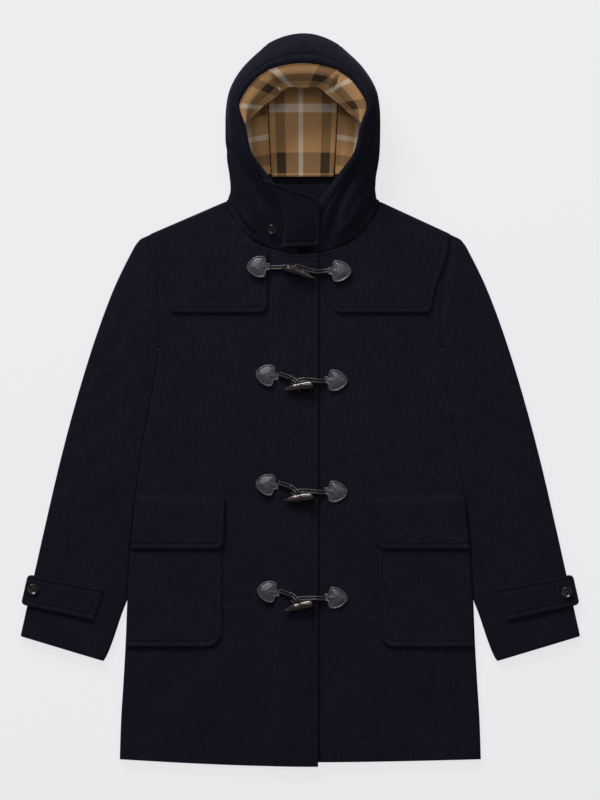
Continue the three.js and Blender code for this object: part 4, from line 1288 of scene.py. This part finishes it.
# ---- fastenings ----------------------------------------------------------------------------------
# half outline of a patch, from the middle of its tail round to its point, outward along X
PATCH_HALF = [(-20.5, 0), (-20.5, 3.4), (-20, 5.4), (-17.4, 5.7), (-15.2, 6.4), (-14.2, 9), (-13.6, 12.6),
              (-12.2, 15.6), (-8.8, 17.3), (-4, 17.5), (1.4, 16.4), (6.6, 13.8), (11, 10.4), (14.2, 6.8),
              (16.1, 3.3), (16.8, 0)]


def top_height(x, y):
    on_yoke = y > YOKE_LOW - 1 and abs(x) > 51
    return on_front(min(x, FRONT_EDGE) if x < 34 else x, y).z + (LAYER + CLOTH if on_yoke else 0)


def patch_outline(t):
    """Outline of a patch, t from 0 to 1 round it."""
    half = [Vector((x, y, 0)) for x, y in PATCH_HALF]
    ring = half + [Vector((p.x, -p.y, 0)) for p in reversed(half[1:-1])]
    last = len(ring)
    i = int(t * last) % last
    f = t * last - int(t * last)
    a, b, c, d = (ring[(i + k) % last] for k in (-1, 0, 1, 2))
    return 0.5 * (2 * b + (c - a) * f + (2 * a - 5 * b + 4 * c - d) * f**2 + (3 * b - a - 3 * c + d) * f**3)


def build_patch(name, centre, side, tilt):
    """A leather patch: puffed a little, a groove with stitches round its border."""
    turn = Matrix.Rotation(math.radians(tilt) + (0 if side > 0 else math.pi), 3, "Z")
    thick = size("patch_thickness")
    ring = [patch_outline(k / 96) for k in range(96)]
    border = [(p.x, p.y) for p in ring[::2]] + [(ring[0].x, ring[0].y)]
    around = [(8 * a, 8 * b) for a in (-2, -1, 0, 1, 2) for b in (-2, 0, 2)]
    heights = [top_height(centre[0] + x, centre[1] + y) for x, y in around]
    base = max(heights) + LAYER

    def place(column, row):
        edge = patch_outline((column % 96) / 96)
        share = clamp(1 - row, 0, 1) if row <= 1 else 0.0
        p = edge * share
        inside = segment_distance(p.x, p.y, border)[0]
        if row < 0:
            z = thick - 0.9 + row * (thick - 0.9)
        else:
            soft = 0.9 - math.sqrt(max(0.0, 0.81 - (0.9 - min(inside, 0.9)) ** 2))
            z = thick - soft - 0.7 * bell(inside - 3.3, 0.8) + 1.5 * smooth(inside, 3.4, 13)
            z -= 1.0 * smooth(-p.x, 12.5, 16.5)
            z += 0.16 * wave(p.x, p.y, 7, centre[1])
        spot = turn @ p
        return Vector((centre[0] + spot.x, centre[1] + spot.y, base + z)), 0.0

    rows = joined([-1, -0.5], [k / 40 for k in range(13)], steps(0.3, 1, 0.07))
    bm = grid_bmesh(list(range(97)), rows, place)
    bmesh.ops.remove_doubles(bm, verts=bm.verts[:], dist=0.00002)
    sink(bm, up)
    finish_piece(bm, name, "leather", [name])
    stitches = bmesh.new()
    path = []
    for k in range(97):
        edge, ahead = patch_outline(k / 96 % 1), patch_outline((k + 1) / 96 % 1)
        way = (ahead - edge).normalized()
        p = edge + Vector((way.y, -way.x, 0)) * 3.3
        if p.x > -12.5:
            spot = turn @ p
            path.append(Vector((centre[0] + spot.x, centre[1] + spot.y, base + thick - 0.35)))
    stitch_line(stitches, path, 0.3, 0.0)
    finish_piece(stitches, name + "_stitches", "leather_thread")


def sweep(name, finish, nodes, paths, radius, sides=10):
    """Round cords along smooth curves through points in mm, as one mesh."""
    curve = bpy.data.curves.new(name + "_line", "CURVE")
    curve.dimensions = "3D"
    curve.bevel_depth = radius * MM
    curve.bevel_resolution = sides // 2 - 1
    curve.use_fill_caps = True
    for points in paths:
        count = max(8, len(points) * 7)
        spline = curve.splines.new("POLY")
        spline.points.add(count - 1)
        for k in range(count):
            p = through(points, k / (count - 1)) * MM
            spline.points[k].co = (*p, 1)
    rope = bpy.data.objects.new(name + "_line", curve)
    bpy.context.scene.collection.objects.link(rope)
    mesh = bpy.data.meshes.new_from_object(rope.evaluated_get(bpy.context.evaluated_depsgraph_get()))
    bm = bmesh.new()
    bm.from_mesh(mesh)
    bpy.data.objects.remove(rope)
    bpy.data.curves.remove(curve)
    bpy.data.meshes.remove(mesh)
    bmesh.ops.remove_doubles(bm, verts=bm.verts[:], dist=0.000005)
    bmesh.ops.recalc_face_normals(bm, faces=bm.faces[:])
    return finish_piece(bm, name, finish, nodes)


def offset_path(points, sideways, lift=0.0):
    out = []
    for i, p in enumerate(points):
        way = (points[min(i + 1, len(points) - 1)] - points[max(i - 1, 0)])
        across = Vector((-way.y, way.x, 0)).normalized()
        out.append(p + across * sideways + Vector((0, 0, lift)))
    return out


def toggle_frame(thick, tip):
    a = Vector((*thick, top_height(*thick) + LAYER + size("toggle_radius")))
    b = Vector((*tip, top_height(*tip) + LAYER + size("toggle_radius") - 2))
    return a, b


# a toggle's share of its length, share of its radius
TOGGLE_PROFILE = [
    (0, 0.0), (0.004, 0.6), (0.02, 0.88), (0.06, 1.0), (0.2, 1.03), (0.36, 0.98), (0.46, 0.84),
    (0.52, 0.82), (0.58, 0.88), (0.7, 0.74), (0.84, 0.47), (0.94, 0.26), (0.985, 0.13), (1, 0.0),
]


def build_toggle(name, thick, tip, bow):
    """A horn toggle: blunt at one end, waisted at its middle, drawn out to a slightly bent point."""
    a, b = toggle_frame(thick, tip)
    along = (b - a).normalized()
    across = Vector((-along.y, along.x, 0)).normalized()
    rise = across.cross(along)
    if rise.z < 0:
        rise = -rise

    def place(column, row):
        angle = column / 32 * math.tau
        r = lookup(TOGGLE_PROFILE, row) * size("toggle_radius")
        centre = a.lerp(b, row) + across * bow * math.sin(math.pi * row)
        flatten = lerp(1.0, 0.86, row)
        p = centre + across * math.cos(angle) * r + rise * math.sin(angle) * r * flatten
        spot = Vector((math.cos(angle) * 1.5, math.sin(angle) * 1.5, row * 7 + thick[1]))
        return p, 0.22 * noise.noise(spot)

    rows = joined([0, 0.002, 0.004, 0.01, 0.02, 0.035, 0.06], steps(0.06, 0.94, 0.022),
                  [0.97, 0.985, 0.995, 1])
    bm = grid_bmesh(list(range(33)), rows, place)
    bmesh.ops.remove_doubles(bm, verts=bm.verts[:], dist=0.00002)
    middle = (a + b) / 2
    sink(bm, lambda p: p / MM - middle)
    finish_piece(bm, name, "horn", [name])


def on_top(points, lifts):
    over = LAYER + size("cord_radius")
    return [Vector((x, y, top_height(x, y) + over + lift)) for (x, y), lift in zip(points, lifts)]


# cords of each fastening: the toggle's from the right patch, the loop from the left one, with heights
CORDS = [
    {"toggle": [(-47, 211.5), (-38, 211.6), (-30, 212), (-20, 212.5), (-6, 210), (2, 205)],
     "toggle_lift": [1, 0.5, 0, 4, 7, 3],
     "loop": [(46, 206.6), (36, 205.8), (25, 205.2), (14, 207.5), (6, 210.5), (-6, 214)],
     "loop_lift": [1, 0.5, 0, 0, 0, 0], "knot": (-27, 212), "bow": 1.5},
    {"toggle": [(-34, 41.5), (-25, 39), (-17, 36), (-9, 32), (-4, 26), (-2, 16)],
     "toggle_lift": [1, 0.5, 0.5, 3, 6, 0],
     "loop": [(39, 30.5), (28, 30.5), (16, 32), (6, 32.5), (-3, 31), (-12, 28)],
     "loop_lift": [1, 0.5, 0, 0, 0, 0], "knot": (-16, 36), "bow": -1.5},
    {"toggle": [(-35, -132.5), (-26, -135), (-17, -138.5), (-9, -143), (-4, -150), (-2, -161)],
     "toggle_lift": [1, 0.5, 0.5, 3, 6, 0],
     "loop": [(39, -147.6), (28, -147), (16, -146), (6, -145.5), (-3, -146), (-12, -149)],
     "loop_lift": [1, 0.5, 0, 0, 0, 0], "knot": (-16, -139), "bow": -1.5},
    {"toggle": [(-33, -305.5), (-25, -308), (-17, -311), (-9, -315), (-4, -322), (-2, -334)],
     "toggle_lift": [1, 0.5, 0.5, 3, 6, 0],
     "loop": [(39, -317), (28, -317), (16, -317), (6, -317.5), (-3, -318.5), (-12, -322)],
     "loop_lift": [1, 0.5, 0, 0, 0, 0], "knot": (-16, -311), "bow": -1.5},
]


def doubled(points, apart):
    """Out along one side of a line of points and back along the other, round its end."""
    way = (points[-1] - points[-2]).normalized()
    return offset_path(points, apart) + [points[-1] + way * apart] + offset_path(points, -apart)[::-1]


def build_fastening(index):
    spec, cords = FASTENINGS[index], CORDS[index]
    name = f"fastening_{index + 1}"
    strand = size("cord_radius")
    build_patch(name + "_right_patch", spec["right"], -1, 0 if index == 0 else -9)
    build_patch(name + "_left_patch", spec["left"], 1, 0 if index == 0 else -3)
    build_toggle(name + "_toggle", spec["thick"], spec["tip"], cords["bow"])
    toggle_line = on_top(cords["toggle"], cords["toggle_lift"])
    loop_line = on_top(cords["loop"], cords["loop_lift"])
    knot = Vector((*cords["knot"], top_height(*cords["knot"]) + LAYER + strand + 0.6))
    near = min(range(len(toggle_line) - 1), key=lambda k: (toggle_line[k] - knot).length)
    way = (toggle_line[near + 1] - toggle_line[near]).normalized()
    across = Vector((-way.y, way.x, 0)).normalized()
    wraps = []
    for k in (-1.6, 0.0, 1.6):
        ring = []
        for j in range(9):
            t = j / 8 * math.tau
            ring.append(knot + way * (k + 0.5 * math.cos(t)) + across * 4.9 * math.cos(t)
                        + Vector((0, 0, 3.0 * math.sin(t))))
        wraps.append(ring)
    apart = strand + 0.15
    sweep(name + "_toggle_cord", "cord", [name + "_toggle_cord"], [doubled(toggle_line, apart)], strand)
    sweep(name + "_toggle_cord_whipping", "cord", [], wraps, 0.95, 8)
    sweep(name + "_loop_cord", "cord", [name + "_loop_cord"], [doubled(loop_line, apart)], strand)


# ---- stage ---------------------------------------------------------------------------------------
def build_stage():
    stage = bpy.context.scene.coat_stage
    scene = bpy.context.scene
    bm = bmesh.new()
    bmesh.ops.create_grid(bm, x_segments=2, y_segments=2, size=6.0)
    bmesh.ops.translate(bm, verts=bm.verts[:], vec=(0, 0, -0.0004))
    mesh = bpy.data.meshes.new("floor")
    bm.to_mesh(mesh)
    bm.free()
    floor = bpy.data.objects.new("floor", mesh)
    scene.collection.objects.link(floor)
    paper, _tree, surface, _coords = new_material("matt_paper", Roughness=1.0, Specular_IOR_Level=0.0)
    surface.inputs["Base Color"].default_value = (stage.floor_share,) * 3 + (1.0,)
    surface.inputs["Emission Color"].default_value = (*stage.floor_colour, 1.0)
    surface.inputs["Emission Strength"].default_value = stage.floor_glow
    mesh.materials.append(paper)
    floor.visible_diffuse = False
    floor.visible_glossy = False

    camera = bpy.data.cameras.new("camera")
    camera.lens = 250
    camera.sensor_width = 36
    camera.clip_end = 30
    eye = bpy.data.objects.new("camera", camera)
    scene.collection.objects.link(eye)
    eye.location = (-0.0005, 0.0, stage.camera_height)
    scene.camera = eye

    for name, spot, spread, power in (
        ("soft_top", (-1.5, 4.2, 2.3), (2.4, 1.6), stage.key_power),
        ("soft_right", (3.0, 0.6, 3.0), (2.2, 2.2), stage.fill_power),
        ("overhead", (-0.4, 1.7, 4.4), (2.4, 1.8), stage.top_power),
    ):
        light = bpy.data.lights.new(name, "AREA")
        light.shape = "RECTANGLE"
        light.size, light.size_y = spread
        light.energy = power
        lamp = bpy.data.objects.new(name, light)
        scene.collection.objects.link(lamp)
        lamp.location = spot
        lamp.rotation_euler = (Vector((0, 0, 0)) - Vector(spot)).to_track_quat("-Z", "Y").to_euler()

    world = bpy.data.worlds.new("studio")
    world.use_nodes = True
    sky = world.node_tree.nodes["Background"]
    sky.inputs["Color"].default_value = (0.93, 0.95, 1.0, 1.0)
    sky.inputs["Strength"].default_value = stage.fill_light
    scene.world = world
    scene.view_settings.view_transform = "Standard"
    scene.view_settings.look = "None"


# ---- add-on ------------------------------------------------------------------------------------
def length_property(name, description, millimetres):
    return bpy.props.FloatProperty(
        name=name, description=description, default=millimetres * MM, min=0.0001, precision=4, unit="LENGTH")


def colour_property(name, description, hex_colour):
    return bpy.props.FloatVectorProperty(
        name=name, description=description, default=linear(hex_colour)[:3], subtype="COLOR", min=0, max=1)


def power_property(name, description, watts):
    return bpy.props.FloatProperty(name=name, description=description, default=watts, min=0, unit="POWER")


def share_property(name, description, share):
    return bpy.props.FloatProperty(name=name, description=description, default=share, min=0, precision=3)


class CoatSizes(bpy.types.PropertyGroup):
    """Walls, seams and trimmings."""

    melton_wall: length_property("Melton", "Thickness of the coat's cloth", CLOTH)
    lining_wall: length_property("Lining", "Thickness of the hood's lining", LINING)
    check_repeat: length_property("Check repeat", "Distance over which the lining's check repeats", 78.0)
    stitch_pitch: length_property("Stitch pitch", "Distance from one stitch to the next", 4.0)
    stitch_length: length_property("Stitch length", "Length of a stitch that shows", 2.9)
    patch_thickness: length_property("Patch", "Thickness of a leather patch", 2.2)
    toggle_radius: length_property("Toggle radius", "Radius of a toggle at its thick end", 6.8)
    cord_radius: length_property("Cord radius", "Radius of one strand of the doubled cords", 2.0)
    cuff_button_radius: length_property("Cuff button radius", "Radius of a button at the cuff", 9.0)
    throat_button_radius: length_property("Throat button radius", "Radius of the throat tab's button", 8.0)


class CoatColours(bpy.types.PropertyGroup):
    """Dyes and finishes."""

    melton_dark: colour_property("Melton, dark", "Darker fibres of the body's cloth", "#0b0b14")
    melton_light: colour_property("Melton, light", "Paler fibres of the body's cloth", "#1c1b29")
    # painted light: the hood's two melton colours are a little paler than the body's, for the brighter light
    # on the hood
    hood_dark_painted_light: colour_property("Hood, dark", "Darker fibres of the hood's cloth", "#0c0c15")
    hood_pale_painted_light: colour_property("Hood, light", "Paler fibres of the hood's cloth", "#1e1d2b")
    camel: colour_property("Camel", "Ground of the lining's check", "#b98d5f")
    brown: colour_property("Brown", "Dark band of the lining's check", "#1c1411")
    cream: colour_property("Cream", "Pale band of the lining's check", "#efe4d0")
    leather: colour_property("Leather", "Patches", "#2c2a2f")
    leather_worn: colour_property("Leather, worn", "Paler places of the patches", "#4a464c")
    cord: colour_property("Cord", "Doubled cords", "#0f0f11")
    cord_worn: colour_property("Cord, worn", "Paler places of the cords", "#27272b")
    horn_dark: colour_property("Horn, dark", "Darkest streaks of the toggles", "#100a09")
    horn: colour_property("Horn", "Ground of the toggles", "#291815")
    horn_streak: colour_property("Horn, pale", "Palest streaks of the toggles", "#63453d")
    button: colour_property("Button", "Ground of the buttons", "#0e0d10")
    button_cloud: colour_property("Button, cloud", "Brownish cloud in the buttons", "#2e2422")
    thread: colour_property("Thread", "Stitches on the cloth", "#15151f")
    patch_thread: colour_property("Patch thread", "Stitches on the leather patches", "#77767c")


class CoatStage(bpy.types.PropertyGroup):
    """Floor, camera and lights."""

    floor_colour: colour_property("Floor", "Colour of the floor", "#ecedef")
    floor_glow: share_property("Floor glow", "How much of its colour the floor gives off itself", 0.886)
    floor_share: share_property("Floor shade", "How strongly light and shadow show on the floor", 0.12)
    camera_height: length_property("Camera height", "Height of the camera over the floor", 8900.0)
    key_power: power_property("Top left light", "Power of the soft light at the top left", 215)
    fill_power: power_property("Right light", "Power of the soft light at the right", 10)
    top_power: power_property("Overhead light", "Power of the light overhead", 36)
    fill_light: share_property("Surrounding light", "Strength of the even light from all round", 0.16)


class COAT_OT_stage(bpy.types.Operator):
    """Build the floor, the camera and the lights"""

    bl_idname = "coat.stage"
    bl_label = "Stage"

    def execute(self, context):
        build_stage()
        return {"FINISHED"}


class COAT_OT_body(bpy.types.Operator):
    """Build the two fronts and the back"""

    bl_idname = "coat.body"
    bl_label = "Fronts and back"

    def execute(self, context):
        build_fronts()
        build_back()
        return {"FINISHED"}


class COAT_OT_sleeves(bpy.types.Operator):
    """Build the two sleeves"""

    bl_idname = "coat.sleeves"
    bl_label = "Sleeves"

    def execute(self, context):
        build_sleeves()
        return {"FINISHED"}


class COAT_OT_yokes(bpy.types.Operator):
    """Build the two storm yokes on the shoulders"""

    bl_idname = "coat.yokes"
    bl_label = "Yokes"

    def execute(self, context):
        build_yokes()
        return {"FINISHED"}


class COAT_OT_pockets(bpy.types.Operator):
    """Build the patch pockets and their flaps"""

    bl_idname = "coat.pockets"
    bl_label = "Pockets and flaps"

    def execute(self, context):
        build_pockets()
        return {"FINISHED"}


class COAT_OT_cuffs(bpy.types.Operator):
    """Build the cuff tabs and their buttons"""

    bl_idname = "coat.cuffs"
    bl_label = "Cuff tabs and buttons"

    def execute(self, context):
        build_cuffs()
        return {"FINISHED"}


class COAT_OT_hood(bpy.types.Operator):
    """Build the hood's sides and centre panel"""

    bl_idname = "coat.hood"
    bl_label = "Hood"

    def execute(self, context):
        build_hood()
        return {"FINISHED"}


class COAT_OT_lining(bpy.types.Operator):
    """Build the hood's lining, its fold at the brow and the band inside the nape"""

    bl_idname = "coat.lining"
    bl_label = "Hood lining"

    def execute(self, context):
        build_lining()
        return {"FINISHED"}


class COAT_OT_throat(bpy.types.Operator):
    """Build the throat tab and its button"""

    bl_idname = "coat.throat"
    bl_label = "Throat tab"

    def execute(self, context):
        build_throat()
        return {"FINISHED"}


class COAT_OT_fastening(bpy.types.Operator):
    """Build one fastening: two leather patches, two doubled cords and a horn toggle"""

    bl_idname = "coat.fastening"
    bl_label = "Fastening"

    index: bpy.props.IntProperty(name="Number", description="Which fastening, from the top", min=0, max=3)

    def execute(self, context):
        build_fastening(self.index)
        return {"FINISHED"}


class COAT_PT_panel(bpy.types.Panel):
    """The coat's pieces and settings"""

    bl_idname = "COAT_PT_panel"
    bl_label = "Duffle coat"
    bl_space_type = "VIEW_3D"
    bl_region_type = "UI"
    bl_category = "Coat"

    def draw(self, context):
        column = self.layout.column()
        for operator in OPERATORS:
            column.operator(operator.bl_idname)
        for key, group in GROUPS.items():
            for name in group.__annotations__:
                column.prop(getattr(context.scene, key), name)


OPERATORS = (COAT_OT_stage, COAT_OT_body, COAT_OT_sleeves, COAT_OT_yokes, COAT_OT_pockets, COAT_OT_cuffs,
             COAT_OT_hood, COAT_OT_lining, COAT_OT_throat, COAT_OT_fastening)
GROUPS = {"coat_sizes": CoatSizes, "coat_colours": CoatColours, "coat_stage": CoatStage}


def register():
    for group in GROUPS.values():
        bpy.utils.register_class(group)
    for key, group in GROUPS.items():
        setattr(bpy.types.Scene, key, bpy.props.PointerProperty(type=group))
    for kind in OPERATORS + (COAT_PT_panel,):
        bpy.utils.register_class(kind)


def unregister():
    for kind in (COAT_PT_panel,) + OPERATORS[::-1]:
        bpy.utils.unregister_class(kind)
    for key, group in GROUPS.items():
        delattr(bpy.types.Scene, key)
        bpy.utils.unregister_class(group)


def main():
    register()
    bpy.ops.coat.stage()
    bpy.ops.coat.body()
    bpy.ops.coat.sleeves()
    bpy.ops.coat.yokes()
    bpy.ops.coat.pockets()
    bpy.ops.coat.cuffs()
    bpy.ops.coat.hood()
    bpy.ops.coat.lining()
    bpy.ops.coat.throat()
    for index in range(len(FASTENINGS)):
        bpy.ops.coat.fastening(index=index)
    bpy.context.view_layer.update()


if __name__ == "__main__":
    main()
